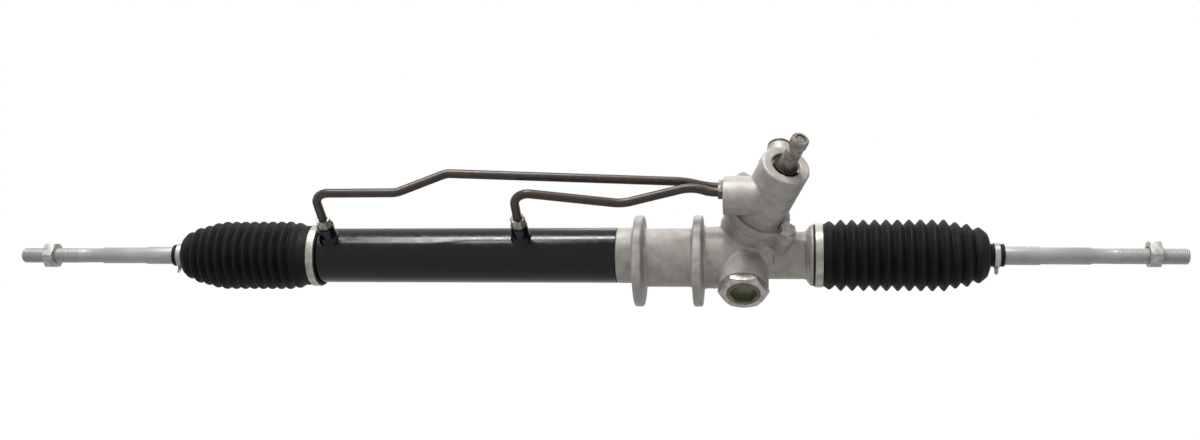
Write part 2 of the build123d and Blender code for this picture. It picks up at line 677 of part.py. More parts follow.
def tie_rod(frame):
    """Tie rod: ball, neck, stepped shank, plain blank and threaded end."""
    thread_start = ROD_LENGTH - THREAD_LENGTH
    blank_start = thread_start - BLANK_LENGTH
    free_start = ROD_LENGTH - JAM_NUT_FROM_TIP + THREAD_END_GAP
    shank = turned(frame, [
        (0, 0), (ROD_NECK_R, 0), (ROD_NECK_R, ROD_NECK_END), (ROD_THICK_R, ROD_THICK_START),
        (ROD_THICK_R, ROD_STEP - ROD_TAPER), (ROD_R, ROD_STEP),
        (ROD_R, blank_start - TIP_CHAMFER), (BLANK_R, blank_start), (BLANK_R, thread_start),
        (THREAD_R, thread_start), (THREAD_R, free_start), (THREAD_END_R, free_start),
        (THREAD_END_R, ROD_LENGTH - TIP_CHAMFER), (THREAD_END_R - TIP_CHAMFER, ROD_LENGTH), (0, ROD_LENGTH),
    ])
    return shank + frame * Sphere(BALL_R)


def jam_nut(frame):
    """Jam nut on the tie rod's thread, one flat upwards."""
    end = ROD_LENGTH - JAM_NUT_FROM_TIP
    return hex_nut(frame * Rot(0, 0, HEX_STEP / 2), JAM_NUT_AF, end - JAM_NUT_THICK, end, THREAD_R + SEAT_FIT)


# ---- boots ----
def fold_radii(size):
    """Peak radius of each fold and of the valley after it, smaller at both ends of the boot."""
    scales = [1.0] * (size["folds"] - len(size["taper"])) + list(size["taper"])
    peaks = [BOOT_PEAK_R * scale for scale in scales]
    peaks[0] = FIRST_PEAK_R
    valleys = [BOOT_VALLEY_R * (scale + after) / 2 for scale, after in zip(scales, scales[1:] + scales[-1:])]
    return list(zip(peaks, valleys))


def boot_neck_start(size):
    """Where the boot's neck begins, from the start of the cuff."""
    return size["peak"] + (size["folds"] - 1) * size["pitch"] + size["cone"]


def boot(frame, size):
    """Bellows boot with its cuff, folds, end cone and neck."""
    outer = [(CUFF_R, 0), (CUFF_R, size["cuff"])]
    for index, (peak, valley) in enumerate(fold_radii(size)):
        centre = size["peak"] + index * size["pitch"]
        outer += [(peak, centre - PEAK_HALF), (peak, centre + PEAK_HALF)]
        if index < size["folds"] - 1:
            outer.append((valley, centre + size["pitch"] / 2))
    neck_start = boot_neck_start(size)
    neck_end = neck_start + size["neck"]
    inner = [(TUBE_R + SEAT_FIT, 0), (TUBE_R + SEAT_FIT, size["cuff"])]
    inner += [(radius - BOOT_WALL, height) for radius, height in outer[2:-1]]
    inner += [(NECK_BORE_R, neck_start - BOOT_WALL), (NECK_BORE_R, neck_end)]
    outer += [(NECK_OUTER_R, neck_start), (NECK_OUTER_R, neck_end)]
    return turned(frame, outer + inner[::-1])


def boot_band(frame):
    """Wide clamp band round the boot's cuff, with its crimped ear at the back."""
    inner = CUFF_R + SEAT_FIT
    outer = inner + BAND_THICK
    end = BAND_START + BAND_WIDTH
    lug = Pos(0, 0, BAND_START) * Box(BAND_EAR, BAND_EAR, BAND_WIDTH, align=FROM_BASE)
    side = 1 if frame.y_dir.Y > 0 else -1
    lug = frame * Pos(0, side * outer, 0) * lug
    return bar(frame, outer, BAND_START, end) + lug - bar(frame, inner, BAND_START, end)


def clip_start(size):
    """Where the small clip begins, from the start of the cuff."""
    return boot_neck_start(size) + size["clip"]


def boot_clip(frame, size):
    """Small spring clip round the boot's neck, with one tang hanging down."""
    start = clip_start(size)
    inner = NECK_OUTER_R + LOOSE_GAP
    outer = inner + CLIP_THICK
    tang = Box(TANG_LENGTH, CLIP_THICK, CLIP_WIDTH, align=(Align.MIN, Align.CENTER, Align.MIN))
    band = bar(frame, outer, start, start + CLIP_WIDTH) + frame * Pos(inner, 0, start) * tang
    return band - bar(frame, inner, start, start + CLIP_WIDTH)


# ---- rack yoke ----
def rack_yoke():
    """Support yoke that presses the rack bar into the pinion."""
    body = bar(YOKE, YOKE_R, YOKE_FRONT, YOKE_BACK)
    body -= bar(RACK, BAR_R + RUN_FIT + LINER_THICK, 0, 2 * PINION_X)
    body -= bar(YOKE, YOKE_RECESS_R, YOKE_BACK - YOKE_RECESS_DEPTH, YOKE_BACK)
    groove_start = ORING_HEIGHT - ORING_R
    return body - ring(YOKE, YOKE_R - 2 * ORING_R, YOKE_R + BLEND, groove_start, ORING_HEIGHT + ORING_R)


def yoke_liner():
    """Low-friction liner between the yoke and the rack bar."""
    shell = ring(RACK, BAR_R + RUN_FIT, BAR_R + RUN_FIT + LINER_THICK, 0, 2 * PINION_X)
    return shell & bar(YOKE, YOKE_R, YOKE_FRONT, YOKE_BACK)


def yoke_oring():
    """Damping ring in the yoke's groove."""
    return torus(YOKE, YOKE_R - ORING_R, ORING_R - SEAT_FIT, ORING_HEIGHT)


def yoke_spring():
    """Coil spring between the yoke and the adjuster plug."""
    base = YOKE_BACK - YOKE_RECESS_DEPTH + SPRING_WIRE_R
    top = YOKE_BACK + YOKE_PLAY + PLUG_RECESS - SPRING_WIRE_R
    path = Helix((top - base) / SPRING_TURNS, top - base, SPRING_R)
    section = Plane(origin=path @ 0, z_dir=path % 0) * Circle(SPRING_WIRE_R)
    return YOKE * Pos(0, 0, base) * sweep(section, path=path, is_frenet=True)


def adjuster_plug():
    """Adjuster plug with a hexagon socket outside and a spring recess inside."""
    base = YOKE_BACK + YOKE_PLAY
    plug = bar(YOKE, YOKE_R, base, PLUG_TOP)
    plug -= bar(YOKE, YOKE_RECESS_R, base, base + PLUG_RECESS)
    return plug - hexagon(YOKE, PLUG_SOCKET_AF, PLUG_TOP - PLUG_SOCKET_DEPTH, PLUG_TOP)


def adjuster_lock_nut():
    """Lock nut of the adjuster plug."""
    top = YOKE_BOSS_TOP + LOCK_NUT_THICK
    return hex_nut(YOKE, LOCK_NUT_AF, YOKE_BOSS_TOP, top, YOKE_R + SEAT_FIT)


# ---- pinion and its bearings ----
def involute(angle):
    """Involute function of a pressure angle in radians."""
    return math.tan(angle) - angle


def half_tooth(radius):
    """Half of the tooth's angle at a radius, in radians."""
    tooth_transverse = TOOTH_NORMAL / math.cos(LEAN)
    at_pitch = tooth_transverse / (2 * PITCH_R) + involute(TRANSVERSE_ANGLE)
    return at_pitch - involute(math.acos(BASE_R / radius))


def polar(radius, angle):
    """Point at a radius and an angle."""
    return (radius * math.cos(angle), radius * math.sin(angle))


def gear_section():
    """Transverse section of the pinion, with one tooth centred on the section's X axis."""
    step = (PINION_TIP_R - BASE_R) / (FLANK_POINTS - 1)
    radii = [BASE_R + step * index for index in range(FLANK_POINTS)]
    edges = []
    for tooth in range(TEETH):
        middle = 2 * math.pi * tooth / TEETH
        rising = [polar(radius, middle - half_tooth(radius)) for radius in radii]
        falling = [polar(radius, middle + half_tooth(radius)) for radius in reversed(radii)]
        root_start = polar(PINION_ROOT_R, middle - half_tooth(BASE_R))
        root_end = polar(PINION_ROOT_R, middle + half_tooth(BASE_R))
        next_root = polar(PINION_ROOT_R, middle + 2 * math.pi / TEETH - half_tooth(BASE_R))
        edges += [Line(root_start, rising[0]), Spline(*rising), Line(rising[-1], falling[0])]
        edges += [Spline(*falling), Line(falling[-1], root_end), Line(root_end, next_root)]
    return make_face(edges).face()


def gear_body():
    """Helical teeth of the pinion, in mesh with the rack at rest."""
    length = 2 * GEAR_HALF
    section = gear_section()
    twisted = Solid.extrude_linear_with_rotation(section, (0, 0, 0), (0, 0, length), TWIST_RATE * length)
    return MESH * Pos(0, 0, -GEAR_HALF) * Rot(0, 0, -TWIST_RATE * GEAR_HALF) * twisted


def pinion():
    """Pinion: teeth, journals and the head that carries the valve sleeve."""
    body = gear_body() + bar(PINION, JOURNAL_R, GEAR_HALF, HEAD_BASE)
    body += bar(PINION, BEARING_BORE_R, BEARING_BASE - PINION_NUT_THICK, -GEAR_HALF)
    body += bar(PINION, HEAD_R, HEAD_BASE, SLEEVE_BASE)
    body -= bar(PINION, SHAFT_JOURNAL_R + RUN_FIT, SHAFT_BASE, SLEEVE_BASE)
    return body - bar(PINION, TORSION_R + RUN_FIT, TORSION_BASE - RUN_FIT, SHAFT_BASE)


def pinion_bearing_outer_ring():
    """Outer ring of the ball bearing below the pinion."""
    end = BEARING_BASE + BEARING_WIDTH
    return ring(PINION, BEARING_R - RING_WALL, BEARING_R, BEARING_BASE, end)


def pinion_bearing_inner_ring():
    """Inner ring of the ball bearing below the pinion."""
    end = BEARING_BASE + BEARING_WIDTH
    bore = BEARING_BORE_R + SEAT_FIT
    return ring(PINION, bore, BEARING_BORE_R + RING_WALL, BEARING_BASE, end)


def pinion_bearing_balls():
    """Balls of the bearing below the pinion."""
    track = (BEARING_R + BEARING_BORE_R) / 2
    height = BEARING_BASE + BEARING_WIDTH / 2
    balls = []
    for index in range(BALL_COUNT):
        balls.append(PINION * Rot(0, 0, index * 360 / BALL_COUNT) * Pos(track, 0, height) * Sphere(BALL_BEARING_R))
    return Compound(balls)


def pinion_lock_nut():
    """Nut that holds the ball bearing on the pinion."""
    start = BEARING_BASE - PINION_NUT_THICK
    return hex_nut(PINION, PINION_NUT_AF, start, BEARING_BASE, BEARING_BORE_R + SEAT_FIT)


def pinion_end_cap():
    """Screwed cap below the pinion, with its hexagon outside."""
    inside = BOTTOM + END_CAP_THICK
    cap = bar(PINION, BEARING_R, BOTTOM, inside)
    cap += ring(PINION, BEARING_R - RING_WALL, BEARING_R, inside, BEARING_BASE)
    return cap + hexagon(PINION, END_CAP_HEX_AF, BOTTOM - END_CAP_HEX_THICK, BOTTOM)


def pinion_needle_bearing():
    """Needle bearing above the pinion's teeth."""
    end = NEEDLE_BASE + NEEDLE_WIDTH
    return ring(PINION, JOURNAL_R + RUN_FIT, NEEDLE_R, NEEDLE_BASE, end)


def pinion_oil_seal():
    """Oil seal between the valve and the gear housing."""
    end = OIL_SEAL_BASE + OIL_SEAL_WIDTH
    return ring(PINION, JOURNAL_R + RUN_FIT, VALVE_BORE_R, OIL_SEAL_BASE, end)


# ---- valve ----
def valve_sleeve():
    """Rotary valve sleeve carried by the pinion's head."""
    body = ring(PINION, LAND_R + RUN_FIT, SLEEVE_R, SLEEVE_BASE, SLEEVE_TOP)
    for start in seal_ring_starts():
        groove_end = start + SEAL_RING_WIDTH
        body -= ring(PINION, SLEEVE_R - SEAL_RING_GROOVE, SLEEVE_R + BLEND, start, groove_end)
    return body


def seal_ring_starts():
    """Heights at which the sleeve's seal rings begin, evenly spaced along it."""
    step = (SLEEVE_TOP - SLEEVE_BASE - SEAL_RING_WIDTH) / (SEAL_RINGS + 1)
    return [SLEEVE_BASE + step * (index + 1) for index in range(SEAL_RINGS)]


def sleeve_seal_rings():
    """Seal rings of the valve sleeve."""
    inner = SLEEVE_R - SEAL_RING_GROOVE + SEAT_FIT
    outer = VALVE_BORE_R - RUN_FIT
    width = SEAL_RING_WIDTH
    return Compound([ring(PINION, inner, outer, start, start + width) for start in seal_ring_starts()])


def input_shaft():
    """Hollow input shaft: journal, valve land, neck, groove and splined end."""
    body = turned(PINION, [
        (0, SHAFT_BASE), (SHAFT_JOURNAL_R, SHAFT_BASE), (SHAFT_JOURNAL_R, SLEEVE_BASE + LOOSE_GAP),
        (LAND_R, SLEEVE_BASE + LOOSE_GAP), (LAND_R, SLEEVE_TOP), (SHAFT_R, SLEEVE_TOP),
        (SHAFT_R, GROOVE_BASE - EDGE_CHAMFER), (GROOVE_R, GROOVE_BASE), (GROOVE_R, SPLINE_BASE - EDGE_CHAMFER),
        (SPLINE_R, SPLINE_BASE), (SPLINE_R, SHAFT_TIP - EDGE_CHAMFER),
        (SPLINE_R - EDGE_CHAMFER, SHAFT_TIP), (0, SHAFT_TIP),
    ])
    body -= bar(PINION, TORSION_R + SEAT_FIT, SHAFT_BASE, TORSION_TOP)
    body -= cone(PINION, PIN_R, TORSION_R, SHAFT_TIP - PIN_R, SHAFT_TIP)
    return body - cross_pin(PIN_R + SEAT_FIT)


def cross_pin(radius):
    """Round bar across the input shaft at its groove."""
    across = Plane(origin=PINION.from_local_coords((0, 0, PIN_HEIGHT)), z_dir=PINION.x_dir)
    return bar(across, radius, -GROOVE_R, GROOVE_R)


def torsion_bar():
    """Torsion bar, thick where it is held and slim between."""
    body = turned(PINION, [
        (0, TORSION_BASE), (TORSION_R, TORSION_BASE), (TORSION_R, TORSION_BASE + TORSION_GRIP),
        (TORSION_WAIST_R, TORSION_BASE + TORSION_GRIP + EDGE_CHAMFER),
        (TORSION_WAIST_R, TORSION_TOP - 2 * TORSION_GRIP - EDGE_CHAMFER),
        (TORSION_R, TORSION_TOP - 2 * TORSION_GRIP), (TORSION_R, TORSION_TOP), (0, TORSION_TOP),
    ])
    return body - cross_pin(PIN_R + SEAT_FIT)


def torsion_bar_pin():
    """Pin that holds the torsion bar in the input shaft."""
    shaft = bar(PINION, GROOVE_R, GROOVE_BASE, SPLINE_BASE)
    return cross_pin(PIN_R) & shaft


def right_gusset():
    """Rib from the right bolt ear up the side of the valve tower."""
    reach = math.hypot(*RIGHT_EAR)
    turn = math.degrees(math.atan2(RIGHT_EAR[1], RIGHT_EAR[0]))
    corners = [
        (VALVE_BORE_R + BLEND, 0, FLANGE_TOP - BLEND), (reach, 0, FLANGE_TOP - BLEND),
        (reach, 0, FLANGE_TOP), (VALVE_R, 0, RIGHT_GUSSET_TOP), (VALVE_BORE_R + BLEND, 0, RIGHT_GUSSET_TOP),
    ]
    section = make_face(Polyline(*corners, close=True))
    return PINION * Rot(0, 0, turn) * extrude(section, GUSSET_HALF, both=True)


def front_boss_taper():
    """End of the front pipe boss, tapered into the valve tower."""
    y, z = FRONT_BOSS_YZ
    frame = Plane(origin=(0, y, z), x_dir=(0, 1, 0), z_dir=(1, 0, 0))
    return cone(frame, FRONT_BOSS_R, FRONT_BOSS_END_R, FRONT_BOSS_TAPER_X, FRONT_BOSS_END_X)


def valve_tower_body():
    """Outside of the valve housing."""
    body = turned(PINION, [
        (0, JOINT_HEIGHT), (VALVE_R, JOINT_HEIGHT), (VALVE_R, VALVE_TOP - EDGE_CHAMFER),
        (VALVE_R - EDGE_CHAMFER, VALVE_TOP), (0, VALVE_TOP),
    ])
    body += bar(PINION, TOWER_R, JOINT_HEIGHT, FLANGE_TOP)
    body += bar(PINION, PILOT_R, JOINT_HEIGHT - PILOT_DEPTH, JOINT_HEIGHT)
    body += ear(RIGHT_EAR, JOINT_HEIGHT, FLANGE_TOP) + ear(LEFT_EAR, JOINT_HEIGHT, FLANGE_TOP)
    body += right_gusset()
    body += along_x(*REAR_BOSS_YZ, REAR_BOSS_R, PORT_FACE_X, REAR_BOSS_END_X)
    body += along_x(*FRONT_BOSS_YZ, FRONT_BOSS_R, PORT_FACE_X, FRONT_BOSS_TAPER_X)
    body += front_boss_taper()
    for height in LINE_PORT_HEIGHTS:
        body += bar(line_frame(height), LINE_PORT_R, 0, LINE_PORT_REACH)
    return body


def pipe_port_bores():
    """Threaded bores and oil drillings of the two pipe ports."""
    bores = []
    for frame in (LONG_PORT, SHORT_PORT):
        depth = NUT_THREAD_LENGTH + PIPE_END_GAP
        bores.append(bar(frame, NUT_THREAD_R + SEAT_FIT, -depth, 0))
        bores.append(bar(frame, OIL_HOLE_R, -2 * REAR_BOSS_R, -depth))
    return bores


def line_port_bores():
    """Threaded bores and oil drillings of the two line ports."""
    bores = []
    for height, oil_height in zip(LINE_PORT_HEIGHTS, LINE_OIL_HEIGHTS):
        frame = line_frame(height)
        bores.append(bar(frame, LINE_BORE_R, LINE_PORT_REACH - LINE_BORE_DEPTH, LINE_PORT_REACH))
        bores.append(bar(line_frame(oil_height), LINE_OIL_R, 0, LINE_PORT_REACH - LINE_BORE_DEPTH + BLEND))
    return bores


def valve_housing():
    """Valve housing with its ports, bolt ears and bores."""
    body = valve_tower_body()
    body -= bar(PINION, VALVE_BORE_R + SEAT_FIT, JOINT_HEIGHT - PILOT_DEPTH, MOUTH_FLOOR)
    body -= bar(PINION, MOUTH_BORE_R, MOUTH_FLOOR, VALVE_TOP)
    body -= ring(PINION, PILOT_R, 2 * TOWER_R, TOWER_FOOT, JOINT_HEIGHT)
    body -= oring_groove()
    for position in (RIGHT_EAR, LEFT_EAR):
        body -= bolt_bore(position, BOLT_R + SEAT_FIT, JOINT_HEIGHT, FLANGE_TOP)
        body -= bolt_bore(position, TOOL_ROOM_R, FLANGE_TOP, FLANGE_TOP + TOOL_ROOM)
    for bore in pipe_port_bores() + line_port_bores():
        body -= bore
    return body


def oring_groove():
    """Groove for the joint's O-ring, cut into the valve housing's flange."""
    outer = PILOT_R + 2 * ORING_R
    return ring(PINION, PILOT_R - SEAT_FIT, outer, JOINT_HEIGHT, JOINT_HEIGHT + 2 * ORING_R)


def valve_housing_oring():
    """O-ring in the joint between the two housings."""
    return torus(PINION, PILOT_R + ORING_R, ORING_R - SEAT_FIT, JOINT_HEIGHT + ORING_R)


def valve_housing_bolts():
    """Flanged bolts that hold the valve housing down."""
    bolts = []
    for x, y in (RIGHT_EAR, LEFT_EAR):
        frame = PINION * Pos(x, y, FLANGE_TOP)
        shank = frame * Pos(0, 0, -BOLT_REACH) * Cylinder(BOLT_R, BOLT_REACH, align=FROM_BASE)
        washer = frame * Cylinder(BOLT_WASHER_R, BOLT_WASHER_THICK, align=FROM_BASE)
        head = frame * extrude(RegularPolygon(BOLT_HEAD_AF / 2, 6, major_radius=False), BOLT_HEAD_THICK)
        bolts.append(shank + washer + head)
    return Compound(bolts)


def input_shaft_bearing():
    """Needle bearing at the top of the valve housing."""
    outer = MOUTH_BORE_R - SEAT_FIT
    return ring(PINION, SHAFT_R + RUN_FIT, outer, MOUTH_FLOOR, MOUTH_FLOOR + SHAFT_BEARING_WIDTH)


def input_shaft_seal():
    """Lip seal round the input shaft, with its raised dust lip."""
    base = MOUTH_FLOOR + SHAFT_BEARING_WIDTH
    top = base + SHAFT_SEAL_WIDTH
    body = ring(PINION, SHAFT_R + RUN_FIT, MOUTH_BORE_R - SEAT_FIT, base, top)
    return body + ring(PINION, SHAFT_R + RUN_FIT, SHAFT_LIP_R, top, top + SHAFT_LIP_RISE)


def seal_snap_ring():
    """Open snap ring that keeps the seal in."""
    base = MOUTH_FLOOR + SHAFT_BEARING_WIDTH + SHAFT_SEAL_WIDTH
    outer = MOUTH_BORE_R - SEAT_FIT
    body = ring(PINION, outer - SNAP_RING_WALL, outer, base, base + SNAP_RING_THICK)
    gap = Box(MOUTH_BORE_R, SNAP_RING_GAP, SNAP_RING_THICK, align=(Align.MIN, Align.CENTER, Align.MIN))
    return body - PINION * Pos(0, 0, base) * gap


def line_port_cap(height):
    """Plastic transit cap in a line port."""
    frame = line_frame(height)
    cap = bar(frame, CAP_R, LINE_PORT_REACH, LINE_PORT_REACH + CAP_THICK)
    return cap + bar(frame, LINE_BORE_R - SEAT_FIT, LINE_PORT_REACH - CAP_STEM, LINE_PORT_REACH)


PIECES = {
    "rack_housing": rack_housing(),
    "cylinder_tube": cylinder_tube(),
    "left_port_boss": port_boss(LEFT_PORT),
    "right_port_boss": port_boss(RIGHT_PORT),
    "flare_nuts": flare_nuts(),
    "long_transfer_pipe": pipe(LEFT_PORT, (LONG_LEVEL_END, LONG_CREST, LONG_FAR), LONG_PORT, LONG_BENDS),
    "short_transfer_pipe": pipe(RIGHT_PORT, (SHORT_DIP, SHORT_CREST), SHORT_PORT, SHORT_BENDS),
    "end_stopper": end_stopper(),
    "outer_rack_bushing": outer_rack_bushing(),
    "outer_rack_seal": outer_rack_seal(),
    "inner_rack_bushing": inner_rack_bushing(),
    "inner_rack_seal": inner_rack_seal(),
    "spacer_tube": spacer_tube(),
    "rack_bar": rack_bar(),
    "piston": piston(),
    "piston_ring": piston_ring(),
    "piston_retaining_rings": piston_retaining_rings(),
    "left_inner_socket": inner_socket(LEFT_BALL),
    "right_inner_socket": inner_socket(RIGHT_BALL),
    "left_lock_washer": lock_washer(LEFT_BALL),
    "right_lock_washer": lock_washer(RIGHT_BALL),
    "left_ball_seat": ball_seat(LEFT_BALL),
    "right_ball_seat": ball_seat(RIGHT_BALL),
    "left_tie_rod": tie_rod(LEFT_BALL),
    "right_tie_rod": tie_rod(RIGHT_ROD),
    "left_jam_nut": jam_nut(LEFT_BALL),
    "right_jam_nut": jam_nut(RIGHT_ROD),
    "left_boot": boot(LEFT_CUFF, LEFT_BOOT),
    "right_boot": boot(RIGHT_CUFF, RIGHT_BOOT),
    "left_boot_band": boot_band(LEFT_CUFF),
    "right_boot_band": boot_band(RIGHT_CUFF),
    "left_boot_clip": boot_clip(LEFT_CUFF, LEFT_BOOT),
    "right_boot_clip": boot_clip(RIGHT_CUFF, RIGHT_BOOT),
    "rack_yoke": rack_yoke(),
    "yoke_liner": yoke_liner(),
    "yoke_oring": yoke_oring(),
    "yoke_spring": yoke_spring(),
    "adjuster_plug": adjuster_plug(),
    "adjuster_lock_nut": adjuster_lock_nut(),
    "pinion": pinion(),
    "pinion_bearing_outer_ring": pinion_bearing_outer_ring(),
    "pinion_bearing_inner_ring": pinion_bearing_inner_ring(),
    "pinion_bearing_balls": pinion_bearing_balls(),
    "pinion_lock_nut": pinion_lock_nut(),
    "pinion_end_cap": pinion_end_cap(),
    "pinion_needle_bearing": pinion_needle_bearing(),
    "pinion_oil_seal": pinion_oil_seal(),
    "valve_sleeve": valve_sleeve(),
    "sleeve_seal_rings": sleeve_seal_rings(),
    "input_shaft": input_shaft(),
    "torsion_bar": torsion_bar(),
    "torsion_bar_pin": torsion_bar_pin(),
    "valve_housing": valve_housing(),
    "valve_housing_oring": valve_housing_oring(),
    "valve_housing_bolts": valve_housing_bolts(),
    "input_shaft_bearing": input_shaft_bearing(),
    "input_shaft_seal": input_shaft_seal(),
    "seal_snap_ring": seal_snap_ring(),
    "pressure_port_cap": line_port_cap(LINE_PORT_HEIGHTS[0]),
    "return_port_cap": line_port_cap(LINE_PORT_HEIGHTS[1]),
}

os.makedirs("parts", exist_ok=True)
for name, piece in PIECES.items():
    export_step(piece, f"parts/{name}.step")
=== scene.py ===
"""Finishes, detail pieces, light and camera for a hydraulic steering rack."""

import json
import logging
import math
from collections.abc import Callable, Iterator
from contextlib import contextmanager
from dataclasses import dataclass
from enum import Enum

import bpy
from mathutils import Matrix, Vector

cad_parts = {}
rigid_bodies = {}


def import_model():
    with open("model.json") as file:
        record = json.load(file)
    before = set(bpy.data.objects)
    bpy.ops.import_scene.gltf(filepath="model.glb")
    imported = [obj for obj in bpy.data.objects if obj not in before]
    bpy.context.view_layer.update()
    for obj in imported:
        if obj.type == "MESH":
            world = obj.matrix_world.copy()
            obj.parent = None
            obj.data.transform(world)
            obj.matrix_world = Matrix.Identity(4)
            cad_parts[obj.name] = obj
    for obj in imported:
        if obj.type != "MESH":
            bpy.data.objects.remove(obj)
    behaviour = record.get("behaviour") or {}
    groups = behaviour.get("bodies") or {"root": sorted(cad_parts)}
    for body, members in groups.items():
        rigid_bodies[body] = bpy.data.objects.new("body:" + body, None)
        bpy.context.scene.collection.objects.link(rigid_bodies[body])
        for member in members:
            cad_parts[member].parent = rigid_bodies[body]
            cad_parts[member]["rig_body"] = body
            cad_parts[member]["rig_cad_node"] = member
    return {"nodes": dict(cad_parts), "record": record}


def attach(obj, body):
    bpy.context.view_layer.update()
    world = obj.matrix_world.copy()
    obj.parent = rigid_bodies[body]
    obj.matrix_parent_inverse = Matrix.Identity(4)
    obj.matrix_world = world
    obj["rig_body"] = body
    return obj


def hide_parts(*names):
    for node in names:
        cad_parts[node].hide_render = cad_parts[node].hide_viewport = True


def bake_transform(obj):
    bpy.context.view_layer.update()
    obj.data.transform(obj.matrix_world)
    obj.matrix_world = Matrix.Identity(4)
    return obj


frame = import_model()

LOG = logging.getLogger("steering_rack")
MM = 0.001
FULL_TURN = 2 * math.pi
MERGE = 0.00001
NEAR = 0.01  # in millimetres
PINION_LEAN = math.radians(20.5)
PINION_TILT = math.radians(40)
PINION_X = 66.9
PINION_OFFSET = 16.3  # from the rack axis, in millimetres
LEFT_CUFF_X, RIGHT_CUFF_X = 321.8, 128.0  # from the middle, in millimetres
LEFT_BALL_X, RIGHT_BALL_X = -416.0, 244.5
Color = tuple[float, float, float]
Outline = list[tuple[float, float]]
WHITE = (1.0, 1.0, 1.0)


# ---- shader maths ----
class Value:
    """A number socket that takes part in Python arithmetic."""

    def __init__(self, graph: "Graph", socket: bpy.types.NodeSocket) -> None:
        """Wraps one output socket.

        Args:
            graph: the graph that the socket belongs to.
            socket: the output socket.
        """
        self.graph = graph
        self.socket = socket

    def _math(self, operation: str, first: object, second: object) -> "Value":
        """Adds one Math node and returns its result."""
        made = self.graph.node("ShaderNodeMath", {"operation": operation}, (first, second))
        return Value(self.graph, made)

    def __add__(self, other: object) -> "Value":
        """Sum."""
        return self._math("ADD", self, other)

    def __mul__(self, other: object) -> "Value":
        """Product."""
        return self._math("MULTIPLY", self, other)

    def larger(self, other: object) -> "Value":
        """The larger of two numbers."""
        return self._math("MAXIMUM", self, other)


class Graph:
    """A node tree, with short ways to add to it."""

    def __init__(self, owner: bpy.types.ID) -> None:
        """Empties the node tree of a material or world.

        Args:
            owner: the material or world.
        """
        owner.use_nodes = True
        self.owner = owner
        self.tree = owner.node_tree
        self.tree.nodes.clear()
        self.place = self.node("ShaderNodeTexCoord", {}, (), "Object")

    def node(
        self, kind: str, settings: dict, inputs: object, output: object = 0
    ) -> bpy.types.NodeSocket:
        """Adds a node.

        Args:
            kind: the node's type.
            settings: properties of the node, set first.
            inputs: values or links, as a tuple in order or a dict by socket name.
            output: index or name of the output that is returned.

        Returns:
            The chosen output socket, or None where the node has no output.
        """
        made = self.tree.nodes.new(kind)
        for key, value in settings.items():
            if key == "stops":
                self._set_stops(made, value)
            else:
                setattr(made, key, value)
        pairs = inputs.items() if isinstance(inputs, dict) else enumerate(inputs)
        for key, value in pairs:
            socket = made.inputs[key]
            if isinstance(value, Value):
                value = value.socket
            if isinstance(value, bpy.types.NodeSocket):
                self.tree.links.new(value, socket)
            elif value is not None:
                socket.default_value = (*value, 1) if self._takes_alpha(socket, value) else value
        return made.outputs[output] if len(made.outputs) else None

    @staticmethod
    def _takes_alpha(socket: bpy.types.NodeSocket, value: object) -> bool:
        """Whether a three-part colour has to gain an alpha for this socket."""
        return isinstance(value, tuple) and len(value) == 3 and socket.type == "RGBA"

    @staticmethod
    def _set_stops(ramp: bpy.types.Node, stops: tuple) -> None:
        """Sets a ramp's stops from (position, grey) pairs."""
        elements = ramp.color_ramp.elements
        for element, (position, grey) in zip(elements, stops):
            element.position = position
            element.color = (grey, grey, grey, 1)

    def noise(self, scale: float, detail: float, stretch: tuple = (1, 1, 1)) -> Value:
        """Noise over the object, in cycles per metre.

        Args:
            scale: cycles per metre.
            detail: octaves.
            stretch: factor along each axis.

        Returns:
            The noise as a number about 0.5.
        """
        place = self.place
        if stretch != (1, 1, 1):
            place = self.node("ShaderNodeMapping", {}, {"Vector": self.place, "Scale": stretch})
        inputs = {"Vector": place, "Scale": scale, "Detail": detail}
        return Value(self, self.node("ShaderNodeTexNoise", {}, inputs))

    def cells(self, scale: float) -> Value:
        """Distance to the nearest of scattered points, in cycles per metre."""
        inputs = {"Vector": self.place, "Scale": scale}
        return Value(self, self.node("ShaderNodeTexVoronoi", {}, inputs, "Distance"))

    def ramp(self, value: Value, low: float, high: float) -> Value:
        """Runs a number from 0 to 1 as value goes from low to high."""
        stops = ((low, 0.0), (high, 1.0))
        return Value(self, self.node("ShaderNodeValToRGB", {"stops": stops}, (value,)))

    def mix(self, factor: object, first: object, second: object) -> bpy.types.NodeSocket:
        """Mixes two colours."""
        return self.node("ShaderNodeMix", {"data_type": "RGBA"}, {0: factor, 6: first, 7: second}, 2)

    def bump(self, height: Value, depth: float, strength: float) -> bpy.types.NodeSocket:
        """Normal from a height, with the depth in metres."""
        inputs = {"Height": height, "Distance": depth, "Strength": strength}
        return self.node("ShaderNodeBump", {}, inputs, "Normal")

    def finish(self, **sockets: object) -> bpy.types.Material:
        """Adds the shader and output.

        Args:
            sockets: values of the Principled shader, with underscores for spaces.

        Returns:
            The finished material.
        """
        named = {key.replace("_", " "): value for key, value in sockets.items()}
        shader = self.node("ShaderNodeBsdfPrincipled", {}, named)
        self.node("ShaderNodeOutputMaterial", {}, {"Surface": shader})
        return self.owner

    def seen_ray(self) -> Value:
        """One for camera, glossy and transmission rays, and zero for the rest."""
        rays = [
            Value(self, self.node("ShaderNodeLightPath", {}, (), name))
            for name in ("Is Camera Ray", "Is Glossy Ray", "Is Transmission Ray")
        ]
        first = rays[0].larger(rays[1])
        return first.larger(rays[2])


